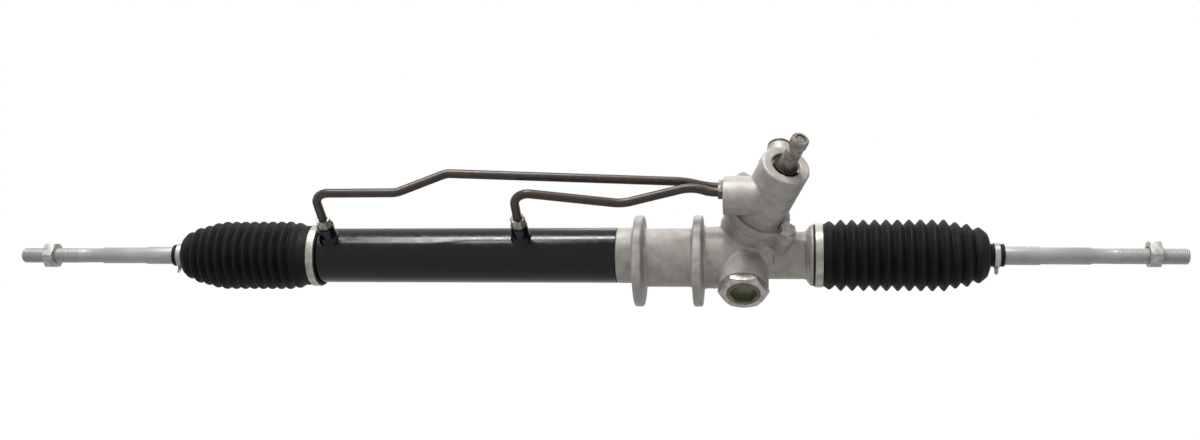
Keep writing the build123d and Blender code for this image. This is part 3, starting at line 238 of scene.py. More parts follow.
# ---- finishes ----
# Patterns are in cycles per metre and depths in metres. Wear is how far the roughness varies, by the
# pattern called sheen, and a tint is how strongly a pattern's colour shows.
@dataclass(frozen=True)
class CastAluminium:
    """Die-cast aluminium: grainy, mottled, a little dull."""

    light: Color = (0.43, 0.41, 0.38)
    dark: Color = (0.27, 0.253, 0.23)
    stain: Color = (0.18, 0.155, 0.13)
    roughness: float = 0.5
    wear: float = 0.16
    metallic: float = 0.35
    gloss: float = 0.35
    sheen: float = 300.0
    blotches: float = 110.0
    grain: float = 1300.0
    pits: float = 800.0
    stains: float = 28.0
    grain_tint: float = 0.4
    stain_tint: float = 0.45
    grain_share: float = 0.6
    grain_depth: float = 0.00022

    def build(self, name: str) -> bpy.types.Material:
        """Makes the material."""
        graph = Graph(bpy.data.materials.new(name))
        blotches = graph.ramp(graph.noise(self.blotches, 5), 0.3, 0.7)
        grain = graph.noise(self.grain, 3)
        pits = graph.ramp(graph.cells(self.pits), 0.0, 0.35)
        stains = graph.ramp(graph.noise(self.stains, 3), 0.56, 0.74)
        color = graph.mix(blotches, self.dark, self.light)
        color = graph.mix(graph.ramp(grain, 0.3, 0.75) * self.grain_tint, color, self.light)
        color = graph.mix(stains * self.stain_tint, color, self.stain)
        height = grain * self.grain_share + pits * (1 - self.grain_share)
        return graph.finish(
            Base_Color=color,
            Metallic=self.metallic,
            Roughness=graph.noise(self.sheen, 3) * self.wear + self.roughness,
            Normal=graph.bump(height, self.grain_depth, 0.6),
            Specular_IOR_Level=self.gloss,
        )


@dataclass(frozen=True)
class PlatedSteel:
    """Zinc-plated steel with faint turning marks and cloudy plating."""

    light: Color = (0.43, 0.445, 0.44)
    dark: Color = (0.22, 0.23, 0.23)
    roughness: float = 0.30
    wear: float = 0.22
    metallic: float = 0.6
    gloss: float = 0.4
    sheen: float = 220.0
    clouds: float = 90.0
    marks: float = 500.0
    mark_stretch: tuple[int, int, int] = (6, 1, 1)
    mark_depth: float = 0.00003

    def build(self, name: str) -> bpy.types.Material:
        """Makes the material."""
        graph = Graph(bpy.data.materials.new(name))
        clouds = graph.ramp(graph.noise(self.clouds, 4), 0.3, 0.72)
        marks = graph.noise(self.marks, 2, self.mark_stretch)
        color = graph.mix(clouds, self.dark, self.light)
        return graph.finish(
            Base_Color=color,
            Metallic=self.metallic,
            Roughness=graph.noise(self.sheen, 3) * self.wear + self.roughness,
            Normal=graph.bump(marks, self.mark_depth, 0.5),
            Specular_IOR_Level=self.gloss,
        )


@dataclass(frozen=True)
class GlossPaint:
    """Thick gloss black paint with a slight ripple and a few dust specks."""

    color: Color = (0.0030, 0.0040, 0.0048)
    speck: Color = (0.03, 0.03, 0.03)
    roughness: float = 0.15
    wear: float = 0.16
    gloss: float = 0.22
    specks: float = 2200.0
    speck_tint: float = 0.25
    dust: float = 120.0
    ripple: float = 260.0
    ripple_depth: float = 0.00006

    def build(self, name: str) -> bpy.types.Material:
        """Makes the material."""
        graph = Graph(bpy.data.materials.new(name))
        specks = graph.ramp(graph.noise(self.specks, 2), 0.62, 0.8)
        dust = graph.ramp(graph.noise(self.dust, 4), 0.3, 0.8)
        return graph.finish(
            Base_Color=graph.mix(specks * self.speck_tint, self.color, self.speck),
            Roughness=dust * self.wear + self.roughness,
            Normal=graph.bump(graph.noise(self.ripple, 2), self.ripple_depth, 0.35),
            Specular_IOR_Level=self.gloss,
        )


@dataclass(frozen=True)
class CoatedPipe:
    """Dark brown coated steel pipe, scuffed to a lighter brown."""

    color: Color = (0.034, 0.023, 0.017)
    scuffed: Color = (0.078, 0.055, 0.043)
    roughness: float = 0.27
    wear: float = 0.2
    metallic: float = 0.1
    gloss: float = 0.35
    sheen: float = 400.0
    scuffs: float = 160.0
    scuff_tint: float = 0.7
    grain: float = 900.0
    grain_depth: float = 0.00005

    def build(self, name: str) -> bpy.types.Material:
        """Makes the material."""
        graph = Graph(bpy.data.materials.new(name))
        scuffs = graph.ramp(graph.noise(self.scuffs, 5), 0.5, 0.75)
        return graph.finish(
            Base_Color=graph.mix(scuffs * self.scuff_tint, self.color, self.scuffed),
            Metallic=self.metallic,
            Roughness=graph.noise(self.sheen, 3) * self.wear + self.roughness,
            Normal=graph.bump(graph.noise(self.grain, 3), self.grain_depth, 0.5),
            Specular_IOR_Level=self.gloss,
        )


@dataclass(frozen=True)
class MouldedRubber:
    """Matt rubber with a dusty bloom."""

    color: Color = (0.005, 0.005, 0.0052)
    bloom: Color = (0.014, 0.014, 0.0145)
    roughness: float = 0.5
    wear: float = 0.2
    gloss: float = 0.12
    sheen: float = 260.0
    blooms: float = 70.0
    bloom_tint: float = 0.7
    grain: float = 1600.0
    grain_depth: float = 0.00005

    def build(self, name: str) -> bpy.types.Material:
        """Makes the material."""
        graph = Graph(bpy.data.materials.new(name))
        bloom = graph.ramp(graph.noise(self.blooms, 5), 0.42, 0.78)
        return graph.finish(
            Base_Color=graph.mix(bloom * self.bloom_tint, self.color, self.bloom),
            Roughness=graph.noise(self.sheen, 3) * self.wear + self.roughness,
            Normal=graph.bump(graph.noise(self.grain, 3), self.grain_depth, 0.6),
            Specular_IOR_Level=self.gloss,
        )


@dataclass(frozen=True)
class MouldedPlastic:
    """Satin plastic with a fine moulded grain."""

    color: Color = (0.045, 0.029, 0.019)
    worn: Color = (0.085, 0.058, 0.038)
    roughness: float = 0.42
    wear: float = 0.15
    gloss: float = 0.3
    sheen: float = 300.0
    rubs: float = 140.0
    grain: float = 1800.0
    grain_depth: float = 0.00004

    def build(self, name: str) -> bpy.types.Material:
        """Makes the material."""
        graph = Graph(bpy.data.materials.new(name))
        rubs = graph.ramp(graph.noise(self.rubs, 4), 0.45, 0.75)
        return graph.finish(
            Base_Color=graph.mix(rubs, self.color, self.worn),
            Roughness=graph.noise(self.sheen, 2) * self.wear + self.roughness,
            Normal=graph.bump(graph.noise(self.grain, 2), self.grain_depth, 0.5),
            Specular_IOR_Level=self.gloss,
        )


FINISHES = {
    "cast_aluminium": CastAluminium(),
    "black_paint": GlossPaint(),
    "pipe_steel": CoatedPipe(),
    "zinc_steel": PlatedSteel(),
    "rod_steel": PlatedSteel(
        light=(0.36, 0.362, 0.345), dark=(0.27, 0.272, 0.26), metallic=0.3, clouds=40,
    ),
    "nut_steel": PlatedSteel(
        light=(0.50, 0.48, 0.455), dark=(0.27, 0.26, 0.245), metallic=0.4, clouds=260,
    ),
    "band_steel": PlatedSteel(
        light=(0.47, 0.45, 0.41), dark=(0.26, 0.25, 0.22), metallic=0.5, clouds=120,
    ),
    "pipe_nut_zinc": PlatedSteel(
        light=(0.46, 0.45, 0.38), dark=(0.15, 0.145, 0.12), metallic=0.4, clouds=300,
    ),
    "dark_zinc": PlatedSteel(
        light=(0.12, 0.125, 0.10), dark=(0.04, 0.042, 0.034), metallic=0.3, clouds=300,
    ),
    "olive_zinc": PlatedSteel(
        light=(0.17, 0.17, 0.11), dark=(0.075, 0.075, 0.045), roughness=0.4, metallic=0.3,
    ),
    "lock_nut_zinc": PlatedSteel(
        light=(0.52, 0.485, 0.455), dark=(0.25, 0.23, 0.215), roughness=0.26, clouds=200,
    ),
    "shaft_steel": PlatedSteel(
        light=(0.32, 0.295, 0.26), dark=(0.12, 0.105, 0.09), roughness=0.34, clouds=180,
    ),
    "machined_steel": PlatedSteel(
        light=(0.5, 0.5, 0.49), dark=(0.4, 0.4, 0.39), roughness=0.22, metallic=1.0,
    ),
    "yoke_aluminium": CastAluminium(
        light=(0.5, 0.5, 0.49), dark=(0.4, 0.4, 0.39), grain_depth=0.00004,
    ),
    "bronze": PlatedSteel(light=(0.46, 0.30, 0.13), dark=(0.32, 0.19, 0.08), metallic=1.0),
    "boot_rubber": MouldedRubber(),
    "seal_rubber": MouldedRubber(color=(0.04, 0.027, 0.018), bloom=(0.075, 0.054, 0.037)),
    "seal_plastic": MouldedPlastic(color=(0.60, 0.57, 0.50), worn=(0.68, 0.65, 0.58)),
    "cap_plastic": MouldedPlastic(),
}


class Paintbox:
    """All finishes, each made once, and where the frame's nodes take them."""

    def __init__(self) -> None:
        """Makes every material."""
        self.materials = {slot: finish.build(slot) for slot, finish in FINISHES.items()}
        self.slots = {entry["node"]: entry["material_slot"] for entry in frame["record"]["subparts"]}

    def dress_nodes(self) -> None:
        """Gives each node of the frame the material of its slot."""
        for node, slot in self.slots.items():
            for entry in frame["nodes"][node].material_slots:
                entry.material = self.materials[slot]
        LOG.info("dressed %d nodes", len(self.slots))

    def dress(self, piece: bpy.types.Object, slot: str) -> None:
        """Gives a new piece its material."""
        piece.data.materials.clear()
        piece.data.materials.append(self.materials[slot])


# ---- modelling by hand, in code ----
def deselect_all() -> None:
    """Leaves edit mode and selects nothing."""
    if bpy.context.object and bpy.context.object.mode == "EDIT":
        bpy.ops.object.mode_set(mode="OBJECT")
    bpy.ops.object.select_all(action="DESELECT")


def make_active(piece: bpy.types.Object) -> None:
    """Selects one object alone and makes it active."""
    deselect_all()
    piece.select_set(True)
    bpy.context.view_layer.objects.active = piece


def apply_modifier(piece: bpy.types.Object, kind: str, **settings: object) -> None:
    """Adds a modifier and applies it.

    Args:
        piece: the object.
        kind: the modifier's type.
        settings: the modifier's properties.
    """
    make_active(piece)
    modifier = piece.modifiers.new(kind.title(), kind)
    for key, value in settings.items():
        setattr(modifier, key, value)
    bpy.ops.object.modifier_apply(modifier=modifier.name)


@contextmanager
def editing(piece: bpy.types.Object, select: str = "") -> Iterator[None]:
    """Edit mode on one object.

    Args:
        piece: the object.
        select: SELECT or DESELECT for its whole mesh, or nothing to keep the selection.

    Returns:
        The context, which ends in object mode.
    """
    make_active(piece)
    bpy.ops.object.mode_set(mode="EDIT")
    if select:
        bpy.ops.mesh.select_all(action=select)
    yield
    bpy.ops.object.mode_set(mode="OBJECT")


def select_only(piece: bpy.types.Object, kind: str, wanted: Callable) -> None:
    """Selects some vertices or faces of one mesh, and nothing else.

    Args:
        piece: the object.
        kind: vertices or polygons.
        wanted: says of one of them whether it is selected.
    """
    with editing(piece, "DESELECT"):
        pass  # edges and faces are deselected too
    for element in getattr(piece.data, kind):
        element.select = wanted(element)


def clean(piece: bpy.types.Object) -> None:
    """Merges doubles and turns every face outwards."""
    with editing(piece, "SELECT"):
        bpy.ops.mesh.remove_doubles(threshold=MERGE)
        bpy.ops.mesh.normals_make_consistent(inside=False)


def flip(piece: bpy.types.Object) -> None:
    """Turns every face the other way."""
    with editing(piece, "SELECT"):
        bpy.ops.mesh.flip_normals()


def draw_in(vertex: bpy.types.MeshVertex, scale: float) -> None:
    """Scales a vertex's distance from the Z axis."""
    vertex.co.x *= scale
    vertex.co.y *= scale


def smooth(piece: bpy.types.Object, angle: float) -> None:
    """Shades smooth up to an angle in degrees."""
    make_active(piece)
    bpy.ops.object.shade_smooth_by_angle(angle=math.radians(angle), keep_sharp_edges=False)


def place(piece: bpy.types.Object, matrix: Matrix) -> None:
    """Moves the mesh, so that the object stays at the origin."""
    piece.data.transform(matrix)
    if matrix.determinant() < 0:
        clean(piece)


def start_point(name: str, point: Vector) -> bpy.types.Object:
    """A new mesh of one selected vertex, left in edit mode."""
    deselect_all()
    bpy.ops.mesh.primitive_plane_add(size=MM)
    piece = bpy.context.object
    piece.name = name
    piece.data.name = name
    bpy.ops.object.mode_set(mode="EDIT")
    bpy.ops.mesh.select_all(action="SELECT")
    bpy.ops.mesh.merge(type="CENTER")
    bpy.ops.transform.translate(value=point)
    return piece


def turned(name: str, outline: Outline, steps: int) -> bpy.types.Object:
    """A shape turned about Z, as on a lathe.

    Args:
        name: the piece's name.
        outline: (radius, height) corners in millimetres, from end to end.
        steps: segments round the turn.

    Returns:
        The new object.
    """
    points = [Vector((radius * MM, 0, height * MM)) for radius, height in outline]
    piece = start_point(name, points[0])
    for before, after in zip(points, points[1:]):
        bpy.ops.mesh.extrude_region_move(TRANSFORM_OT_translate={"value": after - before})
    bpy.ops.mesh.select_all(action="SELECT")
    bpy.ops.mesh.spin(steps=steps, angle=FULL_TURN, center=(0, 0, 0), axis=(0, 0, 1))
    bpy.ops.object.mode_set(mode="OBJECT")
    clean(piece)
    flat = Vector((1, 1, 0))
    outwards = sum(face.area * face.normal.dot(face.center * flat) for face in piece.data.polygons)
    if outwards < 0:
        flip(piece)
    return piece


def strap(inner_r: float, thick: float, low: float, high: float, edge: float) -> Outline:
    """Section of a flat strap with bevelled outer edges.

    Args:
        inner_r: inside radius.
        thick: thickness.
        low: height of one side.
        high: height of the other side.
        edge: size of the bevels.

    Returns:
        The closed outline, in millimetres like the rest.
    """
    outer = inner_r + thick
    return [
        (inner_r, low), (outer - edge, low), (outer, low + edge),
        (outer, high - edge), (outer - edge, high), (inner_r, high), (inner_r, low),
    ]


def block(size: tuple, centre: tuple) -> bpy.types.Object:
    """A box of a size about a centre, both in millimetres."""
    deselect_all()
    bpy.ops.mesh.primitive_cube_add(size=1)
    piece = bpy.context.object
    piece.data.transform(Matrix.Diagonal((*(Vector(size) * MM), 1)))
    piece.data.transform(Matrix.Translation(Vector(centre) * MM))
    return piece


def frame_at(origin: Vector, x_axis: Vector, z_axis: Vector) -> Matrix:
    """Frame at a place in metres, from its X and Z axes."""
    turn = Matrix((x_axis, z_axis.cross(x_axis), z_axis)).transposed().to_4x4()
    return Matrix.Translation(origin) @ turn


def along_rack(x: float, outwards: int) -> Matrix:
    """Frame at a place on the rack axis, Z along the rack.

    Args:
        x: place on the rack axis, in millimetres.
        outwards: 1 for Z to the right, -1 for Z to the left.

    Returns:
        The frame's matrix, its X axis pointing down.
    """
    return frame_at(Vector((x * MM, 0, 0)), Vector((0, 0, -1)), Vector((outwards, 0, 0)))


def pinion_frame() -> Matrix:
    """Frame of the pinion axis, Z towards the input shaft's tip."""
    across, rise = math.cos(PINION_TILT), math.sin(PINION_TILT)
    reach = math.cos(PINION_LEAN)
    z_axis = Vector((math.sin(PINION_LEAN), -reach * across, reach * rise))
    x_axis = Vector((z_axis.z, 0, -z_axis.x)).normalized()
    origin = Vector((PINION_X, PINION_OFFSET * rise, PINION_OFFSET * across)) * MM
    return frame_at(origin, x_axis, z_axis)


def join(piece: bpy.types.Object, others: list[bpy.types.Object]) -> None:
    """Joins others into one piece."""
    make_active(piece)
    for other in others:
        other.select_set(True)
    bpy.ops.object.join()


class Side(Enum):
    """The two ends of the rack."""

    LEFT = "left"
    RIGHT = "right"

    @property
    def outwards(self) -> int:
        """Sign of X towards this end."""
        return -1 if self is Side.LEFT else 1


# ---- boots ----
@dataclass
class Boot:
    """One bellows boot in three lengths.

    Heights run outwards from the start of the cuff, in millimetres.
    """

    side: Side
    start: float
    cuff: float
    first_peak: float
    folds: int
    pitch: float
    cone: float
    neck_length: float
    taper: tuple[float, ...]
    wall: float = 1.6
    cuff_r: float = 27.5
    peak_r: float = 32.3
    valley_r: float = 26.6
    first_peak_r: float = 30.9
    neck_r: float = 9.95
    round_peak: float = 1.9
    round_valley: float = 0.8
    steps: int = 96
    arc_points: int = 7
    shoulder_r_share: float = 0.62
    shoulder_height_share: float = 0.7
    overlap: float = 1.2
    spread: float = 2.5

    def frame(self) -> Matrix:
        """Frame of the boot, Z outwards from the cuff's start."""
        return along_rack(self.side.outwards * self.start, self.side.outwards)

    def scale(self, index: int) -> float:
        """How far one fold is drawn in towards the small end."""
        from_taper = index - (self.folds - len(self.taper))
        return self.taper[from_taper] if from_taper >= 0 else 1.0

    def peak(self, index: int) -> tuple[float, float]:
        """(radius, height) of one fold's peak."""
        radius = self.first_peak_r if index == 0 else self.peak_r * self.scale(index)
        return radius, self.first_peak + index * self.pitch

    def valley(self, index: int) -> tuple[float, float]:
        """(radius, height) of the valley after one fold."""
        share = (self.scale(index) + self.scale(index + 1)) / 2
        return self.valley_r * share, self.first_peak + (index + 0.5) * self.pitch

    def rounded(self, corners: Outline) -> Outline:
        """Rounds every inner corner of an outline, more at a peak than in a valley.

        Args:
            corners: the corners.

        Returns:
            The outline with a short curve at each corner.
        """
        result = [corners[0]]
        for before, corner, after in zip(corners, corners[1:], corners[2:]):
            here = Vector(corner)
            back, ahead = Vector(before) - here, Vector(after) - here
            wanted = self.round_peak if corner[0] > (before[0] + after[0]) / 2 else self.round_valley
            reach = min(wanted, back.length / 2, ahead.length / 2)
            start, end = here + back.normalized() * reach, here + ahead.normalized() * reach
            for step in range(self.arc_points):
                share = step / (self.arc_points - 1)
                result.append(tuple(start.lerp(here, share).lerp(here.lerp(end, share), share)))
        result.append(corners[-1])
        return result

    def neck_start(self) -> float:
        """Height at which the neck begins."""
        return self.peak(self.folds - 1)[1] + self.cone

    def outline(self) -> Outline:
        """The whole boot's outside, from cuff to neck."""
        corners = [(self.cuff_r, 0.0), (self.cuff_r, self.cuff)]
        for index in range(self.folds):
            corners.append(self.peak(index))
            if index < self.folds - 1:
                corners.append(self.valley(index))
        neck = self.neck_start()
        radius, height = self.peak(self.folds - 1)
        shoulder_r = self.neck_r + (radius - self.neck_r) * self.shoulder_r_share
        shoulder = height + (neck - height) * self.shoulder_height_share
        corners += [(shoulder_r, shoulder), (self.neck_r, neck), (self.neck_r, neck + self.neck_length)]
        return self.rounded(corners)

    def length(self, part: str, low: float, high: float, paint: Paintbox) -> bpy.types.Object:
        """Makes the part of the boot between two heights.

        Args:
            part: the last word of the piece's name.
            low: where it begins.
            high: where it ends.
            paint: the finishes.

        Returns:
            The new piece, in place.
        """
        outline = [point for point in self.outline() if low <= point[1] <= high]
        piece = turned(f"{self.side.value}_boot_{part}", outline, self.steps)
        apply_modifier(piece, "SOLIDIFY", thickness=self.wall * MM, offset=-1)
        place(piece, self.frame())
        smooth(piece, 60)
        paint.dress(piece, "boot_rubber")
        return piece

    def point(self, height: float) -> Vector:
        """The place on the rack axis at a height."""
        return self.frame() @ Vector((0, 0, height * MM))

    def build(self, paint: Paintbox) -> None:
        """Makes the three lengths."""
        side = self.side.value
        outer = self.valley(self.folds - 2)[1]
        inner = self.valley(self.folds - 3)[1]
        begin = self.cuff / 2
        end = self.neck_start() + self.neck_length
        ends = {
            "bellows": (0.0, inner + self.overlap, "housing", "rack", begin, inner + 2 * self.spread),
            "middle": (inner - self.overlap, outer + self.overlap, "rack", f"{side}_seat",
                       inner - self.spread, outer + self.spread),
            "end": (outer - self.overlap, end, f"{side}_seat", f"{side}_rod", outer - self.spread,
                    self.neck_start()),
        }
        for part, (low, high, first, second, begins, stops) in ends.items():
            piece = self.length(part, low, high, paint)
            self.point(begins)
            self.point(stops)
            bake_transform(piece)
            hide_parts(f"{side}_boot")
            LOG.info("made %s", piece.name)


@dataclass
class BootBand:
    """Wide clamp band round a boot's cuff, in millimetres.

    The strap's end lies over its start, and it has a crimped ear.
    """

    side: Side
    start: float
    low: float = 1.4
    width: float = 6.8
    inner_r: float = 27.65
    thick: float = 0.8
    edge: float = 0.25
    lap_from: float = 35.0
    lap_to: float = 78.0
    ear_length: float = 4.0
    ear_height: float = 2.6
    ear_rise: float = 1.0
    ear_round: float = 0.9
    steps: int = 120

    def lap(self, piece: bpy.types.Object) -> None:
        """Raises the stretch of strap that lies over its start, at the front below."""
        for vertex in piece.data.vertices:
            angle = math.degrees(math.atan2(vertex.co.y * self.side.outwards, vertex.co.x))
            radius = math.hypot(vertex.co.x, vertex.co.y)
            if radius > (self.inner_r + self.thick / 4) * MM and self.lap_from < -angle < self.lap_to:
                draw_in(vertex, 1 + self.thick * MM / radius)

    def ear(self) -> bpy.types.Object:
        """The crimped ear, at the back."""
        reach = self.side.outwards * (self.inner_r + self.thick + self.ear_rise)
        size = (self.ear_length, self.ear_height, self.width)
        ear = block(size, (0, reach, self.low + self.width / 2))
        apply_modifier(ear, "BEVEL", width=self.ear_round * MM, segments=3)
        return ear

    def build(self, paint: Paintbox) -> None:
        """Makes the band."""
        section = strap(self.inner_r, self.thick, self.low, self.low + self.width, self.edge)
        piece = turned(f"{self.side.value}_boot_strap", section, self.steps)
        self.lap(piece)
        join(piece, [self.ear()])
        place(piece, along_rack(self.side.outwards * self.start, self.side.outwards))
        smooth(piece, 35)
        paint.dress(piece, "band_steel")
        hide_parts(f"{self.side.value}_boot_band")
        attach(piece, "housing")
        LOG.info("made %s", piece.name)


@dataclass
class SpringClip:
    """Small spring clip round a boot's neck, its two tangs crossed and hanging down, in millimetres."""

    side: Side
    place_x: float
    inner_r: float = 10.3
    thick: float = 0.8
    width: float = 4.75
    edge: float = 0.2
    tang_length: float = 7.2
    tang_turns: tuple[float, float] = (-13.0, 16.0)
    tang_leans: tuple[float, float] = (0.35, 0.9)
    tang_taper: float = 0.72
    first_tang_to: float = 0.6
    second_tang_from: float = 0.35
    tang_round: float = 0.2
    steps: int = 64

    def tang(self, turn: float, low: float, high: float) -> bpy.types.Object:
        """One tang of flat strip, with its end bent outwards.

        Args:
            turn: degrees round the neck from straight down.
            low: where the strip begins across the clip's width.
            high: where it ends.

        Returns:
            The tang.
        """
        length = self.tang_length / 2
        centre = (self.inner_r + length / 2, 0, (low + high) / 2)
        tang = block((length, self.thick, high - low), centre)
        select_only(tang, "polygons", lambda face: face.normal.x > 0.9)
        with editing(tang):
            for lean in self.tang_leans:
                step = Vector((length / 2 * MM, math.copysign(lean * MM, turn), 0))
                bpy.ops.mesh.extrude_region_move(TRANSFORM_OT_translate={"value": step})
            bpy.ops.transform.resize(value=(1, 1, self.tang_taper))
        tang.data.transform(Matrix.Rotation(math.radians(turn), 4, "Z"))
        apply_modifier(tang, "BEVEL", width=self.tang_round * MM, segments=2)
        return tang

    def build(self, paint: Paintbox) -> None:
        """Makes the clip."""
        section = strap(self.inner_r, self.thick, 0, self.width, self.edge)
        piece = turned(f"{self.side.value}_spring_clip", section, self.steps)
        first, second = self.tang_turns
        join(piece, [
            self.tang(first, 0, self.width * self.first_tang_to),
            self.tang(second, self.width * self.second_tang_from, self.width),
        ])
        place(piece, along_rack(self.side.outwards * self.place_x, self.side.outwards))
        smooth(piece, 35)
        paint.dress(piece, "zinc_steel")
        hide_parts(f"{self.side.value}_boot_clip")
        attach(piece, f"{self.side.value}_rod")
        LOG.info("made %s", piece.name)


# ---- tie rods ----
@dataclass
class TieRod:
    """One tie rod with a real thread. Heights run outwards from the ball, in millimetres."""

    side: Side
    ball_x: float
    tilt: float = 0.0
    ball_r: float = 12.95
    neck_r: float = 6.0
    neck_end: float = 15.0
    thick_start: float = 21.0
    thick_r: float = 8.2
    taper_start: float = 77.0
    taper_end: float = 80.0
    shank_r: float = 7.5
    blank_start: float = 122.0
    blank_r: float = 6.75
    thread_start: float = 142.0
    thread_r: float = 6.97
    thread_depth: float = 0.55
    thread_pitch: float = 1.5
    rings_per_pitch: int = 6
    length: float = 202.0
    chamfer: float = 1.2
    thick_edge: float = 0.4
    step_length: float = 1.0
    flank: float = 1.25
    ball_steps: int = 10
    steps: int = 40

    def outline(self) -> Outline:
        """The rod's outside with closely spaced rings along the thread."""
        neck_angle = math.pi - math.asin(self.neck_r / self.ball_r)
        angles = [neck_angle * step / self.ball_steps for step in range(self.ball_steps + 1)]
        points = [(self.ball_r * math.sin(angle), -self.ball_r * math.cos(angle)) for angle in angles]
        points += [
            (self.neck_r, self.neck_end),
            (self.thick_r - self.thick_edge, self.thick_start - 2 * self.thick_edge),
            (self.thick_r, self.thick_start), (self.thick_r, self.taper_start),
            (self.shank_r, self.taper_end), (self.shank_r, self.blank_start - self.step_length),
            (self.blank_r, self.blank_start), (self.blank_r, self.thread_start - self.step_length),
        ]
        spacing = self.thread_pitch / self.rings_per_pitch
        rings = int((self.length - self.chamfer - self.thread_start) / spacing)
        for ring in range(rings + 1):
            points.append((self.thread_r, self.thread_start + ring * spacing))
        end_r = self.thread_r - self.chamfer
        points += [(end_r, self.length), (end_r / 2, self.length), (0, self.length)]
        return points

    def cut_thread(self, piece: bpy.types.Object) -> None:
        """Presses a helical groove into the threaded end, with a run-out at its root."""
        run_out = 2 * self.thread_pitch
        for vertex in piece.data.vertices:
            height = vertex.co.z / MM
            if not self.thread_start <= height < self.length - NEAR:
                continue
            angle = math.atan2(vertex.co.y, vertex.co.x) / FULL_TURN
            phase = (height / self.thread_pitch - angle) % 1.0
            depth = self.thread_depth * max(0.0, 1 - abs(2 * phase - 1) * self.flank)
            depth *= min(1.0, (height - self.thread_start) / run_out)
            draw_in(vertex, 1 - depth * MM / max(MM, math.hypot(vertex.co.x, vertex.co.y)))

    def build(self, paint: Paintbox) -> None:
        """Makes the rod."""
        side = self.side.value
        piece = turned(f"{side}_threaded_rod", self.outline(), self.steps)
        self.cut_thread(piece)
        lift = Matrix.Rotation(math.radians(self.tilt), 4, "Y")
        place(piece, along_rack(self.ball_x, self.side.outwards) @ lift)
        smooth(piece, 50)
        paint.dress(piece, "rod_steel")
        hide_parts(f"{side}_tie_rod")
        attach(piece, f"{side}_rod")
        LOG.info("made %s", piece.name)


# ---- input shaft ----
@dataclass
class InputShaft:
    """Serrated input shaft. Heights run along the pinion axis, in millimetres."""

    tip: float = 139.2
    spline_length: float = 8.4
    groove_length: float = 4.6
    spline_r: float = 7.7
    shaft_r: float = 7.2
    groove_r: float = 5.95
    base: float = 86.0
    edge: float = 1.2
    serration_depth: float = 0.42
    serrations: int = 36
    ring_outer_r: float = 4.5
    ring_inner_r: float = 3.4
    ring_depth: float = 2.5
    centre_depth: float = 0.5
    slack: float = 0.1

    def outline(self) -> Outline:
        """Section of the part that shows."""
        spline = self.tip - self.spline_length
        groove = spline - self.groove_length
        return [
            (0, self.base), (self.shaft_r, self.base), (self.shaft_r, groove - self.edge),
            (self.groove_r, groove), (self.groove_r, spline - self.edge), (self.spline_r, spline),
            (self.spline_r, self.tip - self.edge), (self.spline_r - self.edge, self.tip),
            (self.ring_outer_r, self.tip), (self.ring_outer_r, self.tip - self.ring_depth),
            (self.ring_inner_r, self.tip - self.ring_depth),
            (self.ring_inner_r, self.tip - self.centre_depth), (0, self.tip - self.centre_depth),
        ]

    def cut_serrations(self, piece: bpy.types.Object) -> None:
        """Presses fine serrations into the end."""
        low = (self.tip - self.spline_length - self.slack) * MM
        inside = (self.spline_r - self.edge - self.slack) * MM
        for vertex in piece.data.vertices:
            radius = math.hypot(vertex.co.x, vertex.co.y)
            if vertex.co.z < low or radius < inside:
                continue
            phase = math.atan2(vertex.co.y, vertex.co.x) / FULL_TURN * self.serrations
            draw_in(vertex, 1 - self.serration_depth * MM / radius * (round(phase * 2) % 2))

    def build(self, paint: Paintbox) -> None:
        """Makes the shaft."""
        piece = turned("serrated_shaft", self.outline(), 2 * self.serrations)
        self.cut_serrations(piece)
        place(piece, pinion_frame())
        smooth(piece, 30)
        paint.dress(piece, "shaft_steel")
        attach(piece, "input_shaft")
        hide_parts("input_shaft")
        LOG.info("made %s", piece.name)


# ---- weld beads ----
@dataclass
class WeldBead:
    """Weld round the foot of a port boss on the cylinder tube, in millimetres."""

    name: str
    port_x: float
    elevation: float = 42.0
    tube_r: float = 24.9
    boss_r: float = 7.7
    bead_r: float = 1.15
    ripples: int = 22
    ripple: float = 0.12
    steps: int = 88
    section_steps: int = 12

    def build(self, paint: Paintbox) -> None:
        """Makes the bead as a ring that follows the tube's round face."""
        deselect_all()
        bpy.ops.mesh.primitive_torus_add(
            major_segments=self.steps, minor_segments=self.section_steps,
            major_radius=self.boss_r * MM, minor_radius=self.bead_r * MM,
        )
        piece = bpy.context.object
        piece.name = piece.data.name = self.name
        for vertex in piece.data.vertices:
            angle = math.atan2(vertex.co.y, vertex.co.x)
            swell = 1 + self.ripple * math.sin(self.ripples * angle)
            centre = Vector((math.cos(angle), math.sin(angle), 0)) * self.boss_r * MM
            around = (vertex.co - centre) * swell
            centre.z = math.sqrt((self.tube_r * MM) ** 2 - centre.y**2)
            vertex.co = centre + around
        clean(piece)
        angle = math.radians(self.elevation)
        z_axis = Vector((0, -math.cos(angle), math.sin(angle)))
        place(piece, frame_at(Vector((self.port_x * MM, 0, 0)), Vector((1, 0, 0)), z_axis))
        smooth(piece, 60)
        paint.dress(piece, "black_paint")
        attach(piece, "housing")
        LOG.info("made %s", piece.name)


# ---- copies of the frame's nodes ----
def copy_of(node: str, name: str) -> bpy.types.Object:
    """A free copy of one node of the frame, its doubles merged.

    Args:
        node: the node's name.
        name: the new piece's name.

    Returns:
        The copy.
    """
    source = frame["nodes"][node]
    deselect_all()
    piece = source.copy()
    piece.data = source.data.copy()
    piece.name = piece.data.name = name
    bpy.context.collection.objects.link(piece)
    piece.hide_viewport = piece.hide_render = False
    piece.hide_set(False)
    piece.parent = None
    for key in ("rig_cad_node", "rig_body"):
        if key in piece:
            del piece[key]
    clean(piece)
    return piece


